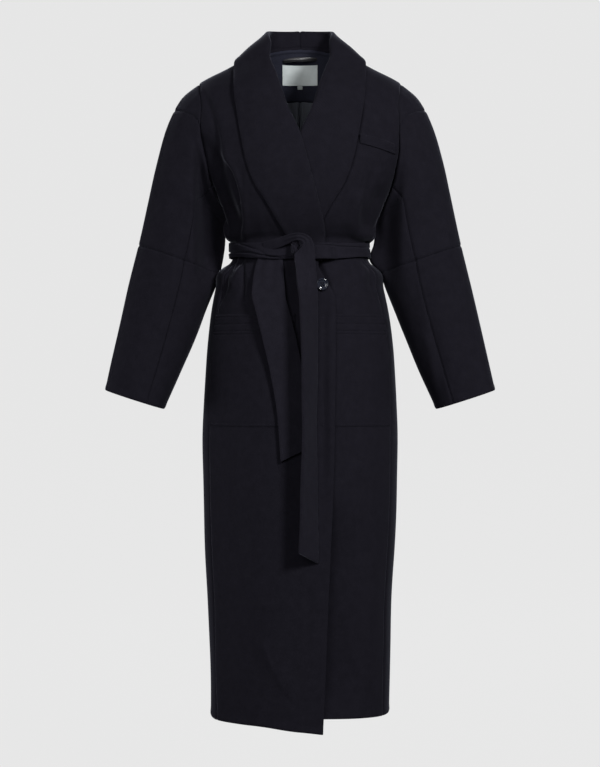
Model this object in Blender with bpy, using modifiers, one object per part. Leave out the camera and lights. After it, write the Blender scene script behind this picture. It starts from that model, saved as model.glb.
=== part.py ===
"""Oversized wrap coat in the shape it takes when worn, empty inside.

Shawl collar, set-in sleeves with a cap and an elbow seam, two patch pockets, a chest welt,
one button and a tied belt. Blender works in metres; the tables below are in millimetres.
+Z is up, the front faces -Y and the wearer's left is +X. The origin lies midway between the
two shoulder seams at neck height, where the wearer's shoulders carry the coat.
"""
import math
from collections import namedtuple

import bmesh
import bpy
import numpy as np
from mathutils import Vector

MM = 0.001
RIGHT, LEFT = -1, 1          # the wearer's sides, as the sign of X

# Cloth thicknesses and clearances
CLOTH = 2.4                  # coat cloth
COLLAR_CLOTH = 3.0           # two plies
POCKET_CLOTH = 2.0
FACING_CLOTH = 1.6
LINING_CLOTH = 1.0
LABEL_CLOTH = 1.0
BELT_CLOTH = 4.0             # tube of two plies
SEAM_GAP = 0.9               # between outer faces of neighbours, which leaves 0.3 inside a curve
WAIST_SEAM_GAP = 2.3         # the same where the folds above the waist meet the side seam
LIE_GAP = 0.35               # under a piece that lies on another with the same points
ROLL_GAP = 1.3               # under a piece that lies loosely

# Body sections: half width, depth to front and back, superellipse power, and how far the
# side is pressed in by the sleeve
Ring = namedtuple("Ring", "z half_width front back square dent")
BODY_RINGS = (
    Ring(-1225, 164, 148, 146, 2.30, 0),
    Ring(-1105, 166, 150, 151, 2.30, 0),
    Ring(-995, 170, 152, 155, 2.30, 0),
    Ring(-885, 175, 153, 158, 2.30, 0),
    Ring(-775, 179, 152, 160, 2.30, 0),
    Ring(-700, 180, 150, 160, 2.30, 0),
    Ring(-625, 178, 146, 158, 2.30, 0),
    Ring(-550, 174, 140, 153, 2.30, 0),
    Ring(-477, 166, 131, 145, 2.25, 0),
    Ring(-440, 160, 125, 138, 2.25, 0),
    Ring(-403, 151, 116, 129, 2.20, 0),
    Ring(-384, 141, 108, 120, 2.20, 0),
    Ring(-366, 127, 101, 111, 2.20, 0),
    Ring(-348, 123, 99, 108, 2.20, 0),
    Ring(-331, 125, 100, 109, 2.20, 2),
    Ring(-318, 138, 109, 116, 2.20, 11),
    Ring(-300, 150, 119, 124, 2.25, 21),
    Ring(-270, 163, 129, 133, 2.30, 24),
    Ring(-245, 172, 134, 138, 2.30, 22),
    Ring(-209, 188, 136, 142, 2.30, 10),
    Ring(-163, 203, 132, 144, 2.30, 0),
    Ring(-120, 206, 122, 142, 2.30, 0),
    Ring(-85, 202, 110, 135, 2.25, 0),
    Ring(-60, 197, 101, 127, 2.20, 0),
)
DENT_MIDDLE, DENT_WIDTH, DENT_EDGE = 8, 35, 1.2

# Rows of the body panels from the hem up; the roof rows over the shoulder follow them
HEM_ROW, CHEST_TOP = -1205, -60
POCKET_TOP, POCKET_BOTTOM = -467, -668
UNDERARM = -270
ROWS = (HEM_ROW, -1115, -1025, -940, -850, -760, POCKET_BOTTOM, -618, -567, -517, POCKET_TOP,
        -440, -416, -394, -376, -362, -347, -332, -321, -306, -288, UNDERARM, -260, -240,
        -212, -180, -145, -110, -82, CHEST_TOP)
ROOF_STEPS = (0.25, 0.5, 0.75, 1.0)

# Shoulder seam and neck
NECK_X, NECK_Z = 82, 20
TIP_X, TIP_Z = 187, -36
SEAM_Y = 10
BACK_NECK_Y, BACK_NECK_Z = 88, 40
ARMHOLE_FRONT, ARMHOLE_BACK = 70, 80
SHOULDER_TRIM = 0.011        # of the last step, which opens the shoulder seam

# Side seam, set forward of the side below the waist
SEAM_FORWARD = 25            # degrees
SEAM_LOW, SEAM_HIGH = -345, UNDERARM
WAIST_SEAM = (-345, -325, -262, -240)         # levels between which its gap is wider

# How far each front reaches past the centre line
Reach = namedtuple("Reach", "z past")
FRONT_EDGE = (
    Reach(-1225, 39), Reach(-1000, 48), Reach(-713, 59), Reach(-470, 62), Reach(-440, 61),
    Reach(-423, 55), Reach(-400, 42), Reach(-378, 32), Reach(-348, 36), Reach(-331, 38),
    Reach(-305, 36), Reach(-272, 28), Reach(-212, 13), Reach(-142, -2), Reach(-90, -22),
    Reach(-60, -33),
)

# The right front laps over the left one and over the left lapel
LAP_CHEST, LAP_SKIRT = 9.6, 8.8
LAP_FULL, LAP_NONE = 60, 140          # distance from the centre line
LAP_HIGH, LAP_LOW = -395, -440

# Hem level at the front edge and at the side seam
HEM_RIGHT = (-1219, -1210)
HEM_LEFT = (-1195, -1201)
HEM_BACK = (-1209, -1202)        # at the right and left side seams
HEM_BLEND = -1025

# Largest folds: a line from start to end across a panel, its half width and its height;
# x runs from the centre line towards the panel's own side
Fold = namedtuple("Fold", "start_x start_z end_x end_z width height")
FOLDS = {
    "front_right": (
        Fold(120, -366, 158, -440, 10, -6),
        Fold(96, -366, 100, -462, 10, -5),
        Fold(110, -366, 124, -425, 8, 4),
        Fold(-40, -400, -40, -760, 13, -3.2),
        Fold(-58, -430, -57, -760, 9, 2),
        Fold(70, -1045, 12, -1150, 14, 3),
        Fold(172, -150, 130, -326, 22, -17),
        Fold(140, -170, 100, -322, 15, 6),
    ),
    "front_left": (
        Fold(118, -366, 140, -430, 10, -5),
        Fold(75, -850, 62, -1225, 38, -7),
        Fold(150, -240, 118, -324, 14, -8),
        Fold(104, -250, 88, -322, 13, 5),
    ),
    "back": (
        Fold(-70, -330, -84, -190, 14, -6),
        Fold(64, -330, 80, -200, 14, -6),
        Fold(-76, -366, -92, -560, 16, -6),
        Fold(70, -366, 90, -600, 16, -6),
        Fold(6, -366, 0, -520, 18, -4),
    ),
}

# Sleeve sections below the armhole: the two ends of the width, middle, half depth, power
Section = namedtuple("Section", "outer_x outer_z inner_x inner_z middle_y half_depth square")
SLEEVE_SECTIONS = (
    Section(264, -180, 138, -307, 6, 77, 2.1),
    Section(281, -254, 139, -330, 8, 74, 2.1),
    Section(299, -336, 149, -388, 6, 70, 2.1),
    Section(320, -425, 178, -466, 2, 65, 2.1),
    Section(340, -514, 216, -560, -4, 59, 2.1),
    Section(359, -603, 251, -638, -10, 53, 2.1),
)
SHOULDER_STEPS = (0.25, 0.6)          # rows between the armhole and the first section
SHOULDER_ROUND = 17          # how far the top of the sleeve rounds out there
ARMHOLE_GAP = 1.35           # from the body's armhole edge to the sleeve
ARMHOLE_TURN = (0, 40, 80, 104, 140, 180)         # sleeve angle
ARMHOLE_PART = (0, 0.17, 0.40, 0.76, 0.90, 1)     # and the part of the armhole it meets
SLEEVE_CLEAR = 3.2           # between the sleeve and the body's side
DENT_CLEAR = 0.11            # more of it for each millimetre the side is pressed in
CLEAR_FROM = (-0.03, 0.025)  # part of the sleeve's length over which it opens
CAP_HALF = 80                # degrees the cap reaches from the top of the sleeve
CAP_HEIGHT = 68
CAP_END = 1.4
ELBOW_SECTION = 2
FRONT_SEAM = (104, 100, 117)          # degrees at armhole, elbow and cuff
BACK_SEAM = (256, 258, 258)
TOP_ANGLES = (-106, -93, -80, -60, -40, -20, 0, 20, 40, 60, 80, 93, 106)
UNDER_STEPS = 8
LONG_SEAM_TURN, UNDERARM_TURN = 0.7, 1.2     # degrees from a long seam to each edge
UPPER_ROWS = (0.0, 0.07, 0.17, 0.30, 0.45, 0.62, 0.81, 1.0)
LOWER_ROWS = (0.0, 0.16, 0.33, 0.5, 0.67, 0.84, 1.0)
CAP_ROWS = (0.0, 0.35, 0.7, 1.0)

# Collar stations round the neck: inner edge, fold and outer edge of the hidden face
Stand = namedtuple("Stand", "inner fold edge")
COLLAR_STANDS = (
    Stand((0, 88, 43), (0, 93, 70), (0, 110, 3)),
    Stand((43, 77, 40), (43, 82, 70), (68, 91, 0)),
    Stand((70, 46, 33), (60, 47, 67), (106, 62, -5)),
    Stand((81, 10, 27), (60, 10, 54), (117, 10, 5.5)),
    Stand((74, -16, 25), (56, -18, 39), (119, -18, 0)),
)
# Lapel stations: height on the fold line, and the outer edge. Heights above the top section
# are hundredths of the way over the shoulder, added to its level
Lapel = namedtuple("Lapel", "fold edge_x edge")
LAPELS = (
    Lapel(-10, 119, -17),
    Lapel(-34, 117, -43),
    Lapel(-56, 114, -78),
    Lapel(-70, 111, -100),
    Lapel(-95, 106, -130),
    Lapel(-142, 96, -180),
    Lapel(-212, 80, -228),
    Lapel(-270, 56, -268),
    Lapel(-305, 36, -303),
    Lapel(-331, 18, -330),
    Lapel(-352, -4, -351),
    Lapel(-371, -18, -371),
)
ROLL_RADIUS = 2.4
ROLL_OUT = 1.0               # from the front's edge to the middle of the roll
SHOULDER_LIFT, SHOULDER_REACH = 4.2, 26   # more clearance where the front turns over the shoulder
ROLL_LOOSE = 0.7             # and how much larger the roll is there
STAND_TURN = (0, 45, 90, 135, 180)
LAPEL_TURN = (74, 98, 122, 150, 180)
LAPEL_START = 50
FALL_STEPS = (0.16, 0.36, 0.57, 0.79, 1.0)
NECK_ROWS, LAPEL_ROWS = 8, 17
COLLAR_SEAM = 1.5            # gap at the centre back
FALL_ROUND = 3               # how far the fall behind the neck rounds out

POCKET_FIRST_COLUMN = 3
FRONT_COLUMNS = 12
BACK_HALF_COLUMNS = 9
NECK_COLUMN = 4

FACING_BOTTOM = -60
LINING_BOTTOM = -306
LINING_DROP = 3.4            # from the facing's lower edge
PLEAT_WIDTH, PLEAT_DEPTH, PLEAT_EASE = 9, 4, 0.15

# Chest welt on the left front
WELT_X = (107, 172)
WELT_TOP, WELT_BOTTOM = (-143, -158), (-161, -177)
WELT_GAP = 0.7               # to the front under it

BUTTON_X, BUTTON_Z = -38, -414
BUTTON_RADIUS, BUTTON_THICK = 11, 4.5
BUTTON_RIM, BUTTON_DISH, BUTTON_LIFT = 2.2, 1.2, 2.4
BUTTON_HOLE, BUTTON_HOLE_RING = 1.1, 3.0
BUTTON_EDGE = 0.8            # width of its rounded edges

# Belt
BAND_SIDE_Z, BAND_FRONT_Z = -346, -354
BAND_HALF, BAND_THICK = 15, 6.0
BAND_LIFT = 1.6              # off the body where nothing lies under it
BAND_STEP_LEFT = (42, 66)    # where it comes down off the lapels on the left
BAND_LAYERS = 3.2            # clearances stacked up under it there
BAND_OPEN = 4                # degrees left open behind the knot, each side
BAND_STEPS = 44
KNOT_MIDDLE = (-1, -139, -349)
KNOT_HALF = (23, 10.5, 22)
KNOT_ROUND = 0.75            # from a block at 0 to a ball at 1

# Belt ends: middle of the strip, half width, turn about the vertical, and rise of the
# strip's far edge where it is cut on the slant
Strip = namedtuple("Strip", "x y z half turn slant")
LONG_END = (
    Strip(4, -137, -318, 13, 0, 0),
    Strip(4, -151, -319, 14, 0, 0),
    Strip(5, -155.4, -334, 15, 2, 0),
    Strip(6, -156, -352, 16, 6, 0),
    Strip(8, -158, -374, 18, 17, 0),
    Strip(12, -165, -404, 22, 36, 0),
    Strip(17, -173, -440, 27, 55, 0),
    Strip(19, -181, -520, 29, 60, 0),
    Strip(19, -186, -620, 29, 60, 0),
    Strip(18, -188, -730, 29, 60, 0),
    Strip(17, -188, -830, 29, 58, 0),
    Strip(15, -187, -911, 29, 54, -11),
)
SHORT_END = (
    Strip(-30, -128.4, -354, 16, -4, 0),
    Strip(-46, -129.5, -374, 22, -4, 0),
    Strip(-53, -137, -396, 27, -6, 0),
    Strip(-56, -145, -424, 30, -8, 0),
    Strip(-48, -152, -465, 30, -6, 0),
    Strip(-37, -158, -510, 30, -4, 0),
    Strip(-24, -163, -570, 29, -2, 0),
    Strip(-12, -167, -640, 29, 0, 0),
    Strip(-5, -169, -715, 29, 0, 14),
)

LABEL_X, LABEL_TOP, LABEL_BOTTOM = 33, 8, -30
LABEL_LIFT = 2.6             # of the label's face over the facing
TAB_X, TAB_DROP = 6, 9
LOOP_X, LOOP_Z, LOOP_HALF, LOOP_OUT, LOOP_CLOTH = 31, 17, 3.5, 10, 1.2
LOOP_POINTS = 13


def smooth(keys, values):
    """A curve through the values that never swings past them; values may be points."""
    keys = np.asarray(keys, float)
    values = np.asarray(values, float).reshape(len(keys), -1)
    steps = np.diff(keys)[:, None]
    rises = np.diff(values, axis=0) / steps
    slopes = np.zeros_like(values)
    slopes[0], slopes[-1] = rises[0], rises[-1]
    before, after = rises[:-1], rises[1:]
    same = before * after > 0
    weight_a, weight_b = 2 * steps[1:] + steps[:-1], steps[1:] + 2 * steps[:-1]
    with np.errstate(divide="ignore", invalid="ignore"):
        mean = (weight_a + weight_b) / (weight_a / before + weight_b / after)
    slopes[1:-1] = np.where(same, mean, 0)

    def at(key):
        i = int(np.clip(np.searchsorted(keys, key) - 1, 0, len(keys) - 2))
        step = keys[i + 1] - keys[i]
        t = min(max((key - keys[i]) / step, 0.0), 1.0)
        a, b = t * t * (3 - 2 * t), t * (1 - t) * step
        found = values[i] * (1 - a) + values[i + 1] * a
        found = found + b * ((1 - t) * slopes[i] - t * slopes[i + 1])
        return found.tolist() if len(found) > 1 else float(found[0])

    return at


def ease(low, high, value):
    t = min(max((value - low) / (high - low), 0.0), 1.0)
    return t * t * (3 - 2 * t)


def mix(a, b, t):
    return a + (b - a) * t


ring_at = smooth([ring.z for ring in BODY_RINGS], [ring[1:] for ring in BODY_RINGS])
edge_at = smooth([row.z for row in FRONT_EDGE], [row.past for row in FRONT_EDGE])


def ring_point(side, angle, z, out):
    """A point of the body section at z; the angle runs from the front centre, 90 at the side."""
    half_width, front, back, square, dent = ring_at(z)
    turn = math.radians(angle)
    across = math.copysign(abs(math.sin(turn)) ** (2 / square), math.sin(turn))
    along = math.copysign(abs(math.cos(turn)) ** (2 / square), math.cos(turn))
    depth = front if along > 0 else back
    x, y = half_width * across, -depth * along
    pressed = dent * math.exp(-(((y - DENT_MIDDLE) / DENT_WIDTH) ** 2))
    normal = Vector((math.copysign(abs(across) ** (square - 1), across) / half_width,
                     -math.copysign(abs(along) ** (square - 1), along) / depth, 0)).normalized()
    x -= math.copysign(pressed, x) * min(1, abs(across) * DENT_EDGE)
    return Vector((side * (x + out * normal.x), y + out * normal.y, z))


def angle_for_x(x, z):
    half_width, _, _, square, _ = ring_at(z)
    part = min(abs(x) / half_width, 1)
    return math.copysign(math.degrees(math.asin(part ** (square / 2))), x)


def angle_for_depth(depth, reach, z):
    """Angle from the centre at which the section is this far forward, or back, of the side."""
    square = ring_at(z)[3]
    return math.degrees(math.acos(min(depth / reach, 1) ** (square / 2)))


def armhole_depth(z, reach):
    middle, half = (TIP_Z + UNDERARM) / 2, (TIP_Z - UNDERARM) / 2
    return reach * math.sqrt(max(0, 1 - ((z - middle) / half) ** 2))


def seam_angle(z, is_front):
    """Angle of the panel's side edge: the side seam, and the armhole above the underarm."""
    if z < UNDERARM:
        seam = 90 - SEAM_FORWARD * (1 - ease(SEAM_LOW, SEAM_HIGH, z))
        return seam if is_front else 180 - seam
    _, front, back, _, _ = ring_at(z)
    if is_front:
        return angle_for_depth(armhole_depth(z, ARMHOLE_FRONT), front, z)
    return angle_for_depth(armhole_depth(z, ARMHOLE_BACK), back, z)


def seam_turn(z):
    """Degrees from the side seam to each panel's edge."""
    low, low_full, high_full, high = WAIST_SEAM
    wide = ease(low, low_full, z) * (1 - ease(high_full, high, z))
    return math.degrees(mix(SEAM_GAP, WAIST_SEAM_GAP, wide) / 2 / ring_at(z)[0])


def fold_height(panel, x, z):
    total = 0.0
    for fold in FOLDS[panel]:
        run = Vector((fold.end_x - fold.start_x, fold.end_z - fold.start_z))
        reach = Vector((x - fold.start_x, z - fold.start_z))
        part = reach.dot(run) / run.length_squared
        away = abs(run.x * reach.y - run.y * reach.x) / run.length
        fade = ease(-0.15, 0.2, part) * (1 - ease(0.7, 1.1, part))
        total += fold.height * fade * math.exp(-((away / fold.width) ** 2))
    return total


def front_out(side, x, z):
    """How far the front panel stands off the body section: its lap and its folds."""
    if side == LEFT:
        return fold_height("front_left", x, z)
    lap = mix(LAP_SKIRT, LAP_CHEST, ease(LAP_LOW, LAP_HIGH, z))
    lap *= 1 - ease(LAP_FULL, LAP_NONE, x)
    return lap + fold_height("front_right", x, z)


def front_ring_point(side, x, z, lift=0.0):
    return ring_point(side, angle_for_x(x, z), z, front_out(side, x, z) + lift)


def seam_top_z(x):
    return NECK_Z + (TIP_Z - NECK_Z) * (x - NECK_X) / (TIP_X - NECK_X)


def front_roof_point(side, x, step):
    """The front over the shoulder: from the top section to the shoulder seam."""
    low = front_ring_point(side, x, CHEST_TOP)
    high = Vector((side * x, SEAM_Y, seam_top_z(x)))
    rise = math.sin(math.radians(90 * step))
    return Vector((mix(low.x, high.x, step), mix(low.y, high.y, step), mix(low.z, high.z, rise)))


def back_top(x):
    if abs(x) >= NECK_X:
        return SEAM_Y, seam_top_z(abs(x)), 1.0
    part = 1 - (x / NECK_X) ** 2
    return (SEAM_Y + (BACK_NECK_Y - SEAM_Y) * math.sqrt(part),
            NECK_Z + (BACK_NECK_Z - NECK_Z) * part, ease(50, NECK_X + 12, abs(x)))


def front_point(side, u, row):
    """Outer face of a front panel: u from the front edge to the side, row from hem to shoulder."""
    if row < len(ROWS):
        z = ROWS[row]
        first = angle_for_x(-edge_at(z), z)
        angle = mix(first, seam_angle(z, True) - seam_turn(z), u)
        x = ring_point(LEFT, angle, z, 0).x
        point = ring_point(side, angle, z, front_out(side, x, z))
        level = mix(*(HEM_RIGHT if side == RIGHT else HEM_LEFT), u)
        point.z += (level - HEM_ROW) * (1 - ease(HEM_ROW, HEM_BLEND, z))
        return point
    step = ROOF_STEPS[row - len(ROWS)]
    low = side * front_point(side, u, len(ROWS) - 1).x
    x = mix(low, mix(NECK_X, TIP_X, u), step)
    return front_roof_point(side, x, step - SHOULDER_TRIM * (step == 1))


def back_point(u, row):
    """Outer face of the back: u from -1 to 1 between the side edges."""
    side, part = (LEFT if u >= 0 else RIGHT), abs(u)
    if row < len(ROWS):
        z = ROWS[row]
        angle = 180 - (seam_angle(z, False) - seam_turn(z)) * part
        x = ring_point(LEFT, angle, z, 0).x
        point = ring_point(side, angle, z, fold_height("back", side * x, z))
        point.z += (mix(*HEM_BACK, (1 + u) / 2) - HEM_ROW) * (1 - ease(HEM_ROW, HEM_BLEND, z))
        return point
    step = ROOF_STEPS[row - len(ROWS)]
    low = back_point(part, len(ROWS) - 1)
    x = mix(low.x, TIP_X * part, step)
    y, z, flat = back_top(x)
    step -= SHOULDER_TRIM * (step == 1)
    rise = mix(step, math.sin(math.radians(90 * step)), flat)
    return Vector((side * x, mix(low.y, y, step), mix(low.z, z, rise)))


ALL_ROWS = len(ROWS) + len(ROOF_STEPS)


def front_grid(side):
    return [[front_point(side, column / FRONT_COLUMNS, row) for column in range(FRONT_COLUMNS + 1)]
            for row in range(ALL_ROWS)]


def back_grid():
    return [[back_point(column / BACK_HALF_COLUMNS, row)
             for column in range(-BACK_HALF_COLUMNS, BACK_HALF_COLUMNS + 1)]
            for row in range(ALL_ROWS)]


def grid_normals(grid):
    """Unit normal at each point, along the row direction crossed with the column direction."""
    found = []
    for r, row in enumerate(grid):
        below, above = grid[max(r - 1, 0)], grid[min(r + 1, len(grid) - 1)]
        line = []
        for c in range(len(row)):
            along = row[min(c + 1, len(row) - 1)] - row[max(c - 1, 0)]
            line.append(along.cross(above[c] - below[c]).normalized())
        found.append(line)
    return found


def moved(grid, distance):
    normals = grid_normals(grid)
    return [[point + normal * distance for point, normal in zip(row, line)]
            for row, line in zip(grid, normals)]


def block(grid, rows, columns):
    return [row[columns[0]:columns[1] + 1] for row in grid[rows[0]:rows[1] + 1]]


def mirrored(grid):
    """The same sheet on the other side, with its columns turned so that it faces out."""
    return [[Vector((-p.x, p.y, p.z)) for p in reversed(row)] for row in grid]


def material(name, colour, roughness):
    made = bpy.data.materials.get(name) or bpy.data.materials.new(name)
    made.use_nodes = True
    shader = made.node_tree.nodes["Principled BSDF"]
    shader.inputs["Base Color"].default_value = (*colour, 1)
    shader.inputs["Roughness"].default_value = roughness
    return made


def finish(bm, name, cloth):
    mesh = bpy.data.meshes.new(name)
    bm.to_mesh(mesh)
    bm.free()
    mesh.shade_smooth()
    made = bpy.data.objects.new(name, mesh)
    coat.objects.link(made)
    colour, roughness = CLOTHS[cloth]
    mesh.materials.append(material(name, colour, roughness))
    return made


def sheet(name, grid, thickness, cloth, outward=False):
    """A wall on a grid of points: rows run up, columns run to the right when seen from outside."""
    bm = bmesh.new()
    rows, columns = len(grid), len(grid[0])
    bmesh.ops.create_grid(bm, x_segments=columns - 1, y_segments=rows - 1, size=0.5)
    for vert in bm.verts:
        column = round((vert.co.x + 0.5) * (columns - 1))
        row = round((vert.co.y + 0.5) * (rows - 1))
        vert.co = grid[row][column] * MM
    made = finish(bm, name, cloth)
    wall = made.modifiers.new("Wall", "SOLIDIFY")
    wall.thickness = thickness * MM
    wall.offset = 1 if outward else -1
    return made


def armhole_curve(side, is_front):
    """The body's armhole edge from the shoulder tip to the underarm, as a curve on 0 to 1."""
    points = []
    for step in np.linspace(1, 0.04, 14):
        x = mix(side_edge(side, CHEST_TOP, is_front).x * side, TIP_X, step)
        if is_front:
            points.append(front_roof_point(side, x, step))
        else:
            low = side_edge(side, CHEST_TOP, False)
            y, z, _ = back_top(x)
            rise = math.sin(math.radians(90 * step))
            points.append(Vector((side * x, mix(low.y, y, step), mix(low.z, z, rise))))
    for turn in np.linspace(0, 90, 40):
        start = (CHEST_TOP - (TIP_Z + UNDERARM) / 2) / ((TIP_Z - UNDERARM) / 2)
        level = math.cos(mix(math.acos(start), math.pi, turn / 90))
        z = (TIP_Z + UNDERARM) / 2 + (TIP_Z - UNDERARM) / 2 * level
        points.append(side_edge(side, z, is_front))
    points = np.array([tuple(p) for p in points])
    lengths = np.concatenate([[0], np.cumsum(np.linalg.norm(np.diff(points, axis=0), axis=1))])
    lengths /= lengths[-1]
    return lambda part: Vector([float(np.interp(part, lengths, points[:, k])) for k in range(3)])


def side_edge(side, z, is_front):
    angle = seam_angle(z, is_front)
    if is_front:
        x = ring_point(LEFT, angle, z, 0).x
        return ring_point(side, angle, z, front_out(side, x, z))
    x = ring_point(LEFT, 180 - angle, z, 0).x
    return ring_point(side, 180 - angle, z, fold_height("back", side * x, z))


class Sleeve:
    """The sleeve's outer face: angle 0 on top, 90 in front, 180 beside the body; t down its length."""

    def __init__(self, side):
        self.side = side
        self.curves = armhole_curve(side, True), armhole_curve(side, False)
        self.part_at = smooth(ARMHOLE_TURN, ARMHOLE_PART)
        top = self.line(0.0)
        steps = [(b - a).length for a, b in zip(top, top[1:])]
        self.length = sum(steps)
        self.keys = np.concatenate([[0], np.cumsum(steps)]) / self.length
        self.elbow = self.keys[len(SHOULDER_STEPS) + 1 + ELBOW_SECTION]
        self.curves_down = {}

    def line(self, angle):
        """Points down the sleeve at this angle: armhole, shoulder rows, then the sections."""
        is_front = angle <= 180
        part = self.part_at(angle if is_front else 360 - angle)
        start = self.curves[0 if is_front else 1](part)
        first = self.section_point(SLEEVE_SECTIONS[0], angle)
        start = start + (first - start).normalized() * ARMHOLE_GAP
        down = Vector((SLEEVE_SECTIONS[0].outer_x - TIP_X, 0, SLEEVE_SECTIONS[0].outer_z - TIP_Z))
        outward = Vector((-down.z * self.side, 0, down.x)).normalized()
        swell = SHOULDER_ROUND * max(0, math.cos(math.radians(angle)))
        rows = [start.lerp(first, step) + outward * swell * math.sin(math.pi * step ** 0.75)
                for step in SHOULDER_STEPS]
        return [start] + rows + [self.section_point(s, angle) for s in SLEEVE_SECTIONS]

    def section_point(self, section, angle):
        turn = math.radians(angle)
        power = 2 / section.square
        top = math.copysign(abs(math.cos(turn)) ** power, math.cos(turn))
        front = math.copysign(abs(math.sin(turn)) ** power, math.sin(turn))
        x = mix(section.inner_x, section.outer_x, (1 + top) / 2)
        z = mix(section.inner_z, section.outer_z, (1 + top) / 2)
        return Vector((self.side * x, section.middle_y - section.half_depth * front, z))

    def clear_of_body(self, point, t):
        """Moves a point outwards where it would lie inside the body's side."""
        if not BODY_RINGS[0].z < point.z < CHEST_TOP:
            return point
        half_width, front, back, square, dent = ring_at(point.z)
        part = abs(point.y) / (front if point.y < 0 else back)
        if part >= 1:
            return point
        across = (1 - part ** square) ** (1 / square)
        pressed = dent * math.exp(-(((point.y - DENT_MIDDLE) / DENT_WIDTH) ** 2))
        pressed *= min(1, across * DENT_EDGE)
        clear = (SLEEVE_CLEAR + DENT_CLEAR * pressed) * ease(*CLEAR_FROM, t)
        least = half_width * across - pressed + clear
        if self.side * point.x < least:
            point.x = self.side * least
        return point

    def point(self, angle, t):
        angle = (angle + 360) % 360
        if angle not in self.curves_down:
            self.curves_down[angle] = smooth(self.keys, [tuple(p) for p in self.line(angle)])
        return self.clear_of_body(Vector(self.curves_down[angle](t)), t)

    def cap(self, angle):
        """How far down the cap seam lies at this angle."""
        away = abs((angle + 180) % 360 - 180)
        if away > CAP_HALF + 0.01:
            return 0.0
        drop = max(0, math.cos(math.radians(90 * away / CAP_HALF))) ** 0.8
        return (CAP_HEIGHT * drop + CAP_END) / self.length

    def grid(self, angles, rows, start, end):
        """Rows run up the sleeve. Angles, start and end are functions of the place."""
        found = []
        for row in reversed(rows):
            line = []
            for column, angle in enumerate(angles(row)):
                t = mix(start(angles(0)[column]), end, row)
                line.append(self.point(angle, t))
            found.append(line if self.side == LEFT else line[::-1])
        return found


def sleeve(side, name):
    shape = Sleeve(side)
    gap = SEAM_GAP / 2 / shape.length
    elbow = shape.elbow

    def ring_gap(row, lower):
        """Degrees from a long seam to each edge, more where the sleeve turns under the arm."""
        return LONG_SEAM_TURN if lower else mix(UNDERARM_TURN, LONG_SEAM_TURN, min(1, 3 * row))

    def seams(row, lower):
        first, last = (1, 2) if lower else (0, 1)
        return mix(FRONT_SEAM[first], FRONT_SEAM[last], row), mix(BACK_SEAM[first], BACK_SEAM[last], row)

    def top_angles(row, lower):
        front, back = seams(row, lower)
        turned = []
        for angle in TOP_ANGLES:
            if abs(angle) <= CAP_HALF:
                turned.append(float(angle))
            elif angle > 0:
                part = (angle - CAP_HALF) / (TOP_ANGLES[-1] - CAP_HALF)
                turned.append(mix(CAP_HALF, front - ring_gap(row, lower), part))
            else:
                part = (angle + CAP_HALF) / (TOP_ANGLES[0] + CAP_HALF)
                turned.append(mix(-CAP_HALF, back - 360 + ring_gap(row, lower), part))
        return turned

    def under_angles(row, lower):
        front, back = seams(row, lower)
        gap_here = ring_gap(row, lower)
        return [mix(front + gap_here, back - gap_here, k / UNDER_STEPS) for k in range(UNDER_STEPS + 1)]

    cap_angles = [float(a) for a in TOP_ANGLES if abs(a) <= CAP_HALF]
    cap = []
    for row in reversed(CAP_ROWS):
        line = [shape.point(a, (shape.cap(a) - gap) * row) for a in cap_angles]
        cap.append(line if side == LEFT else line[::-1])
    pieces = {
        "cap": cap,
        "upper_top": shape.grid(lambda row: top_angles(row, False), UPPER_ROWS,
                                lambda a: shape.cap(a) + (gap if shape.cap(a) else 0), elbow - gap),
        "upper_under": shape.grid(lambda row: under_angles(row, False), UPPER_ROWS,
                                  lambda a: 0.0, elbow - gap),
        "lower_top": shape.grid(lambda row: top_angles(row, True), LOWER_ROWS,
                                lambda a: elbow + gap, 1.0),
        "lower_under": shape.grid(lambda row: under_angles(row, True), LOWER_ROWS,
                                  lambda a: elbow + gap, 1.0),
    }
    for piece, grid in pieces.items():
        grid = [row[::-1] for row in grid]
        sheet(f"{name}_{piece}", grid, CLOTH, "wool")


def collar_station_stand(stand):
    inner, fold, edge = (Vector(p) for p in stand)
    up = (fold - (inner + edge) / 2).normalized()
    across = edge - inner
    across = (across - across.dot(up) * up).normalized()
    middle = fold - up * ROLL_RADIUS
    track = [inner]
    for turn in STAND_TURN:
        a = math.radians(turn)
        track.append(middle + ROLL_RADIUS * (up * math.sin(a) - across * math.cos(a)))
    outward = (edge - fold).cross(Vector((0, 0, 1))).cross(edge - fold).normalized()
    for step in FALL_STEPS:
        track.append(track[STAND_TURN.index(180) + 1].lerp(edge, step)
                     + outward * FALL_ROUND * math.sin(math.pi * step))
    return track


def own_side(point, side):
    """The point with X measured towards the panel's own side."""
    return Vector((point.x * side, point.y, point.z))


def front_over(side, x, height, lift):
    """A point over the front panel on its own side, the normal there and the way to the opening."""
    def at(x, height):
        if height <= CHEST_TOP:
            return own_side(front_ring_point(side, x, height), side)
        return own_side(front_roof_point(side, x, (height - CHEST_TOP) / 100), side)

    here, aside, above = at(x, height), at(x + 2, height), at(x, height + 1)
    normal = (aside - here).cross(above - here).normalized()
    return here + normal * lift, normal, (here - aside).normalized()


def shoulder_turn(height):
    """1 where the front turns over the shoulder, falling to 0 above and below."""
    return math.exp(-(((height - CHEST_TOP) / SHOULDER_REACH) ** 2))


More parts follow.
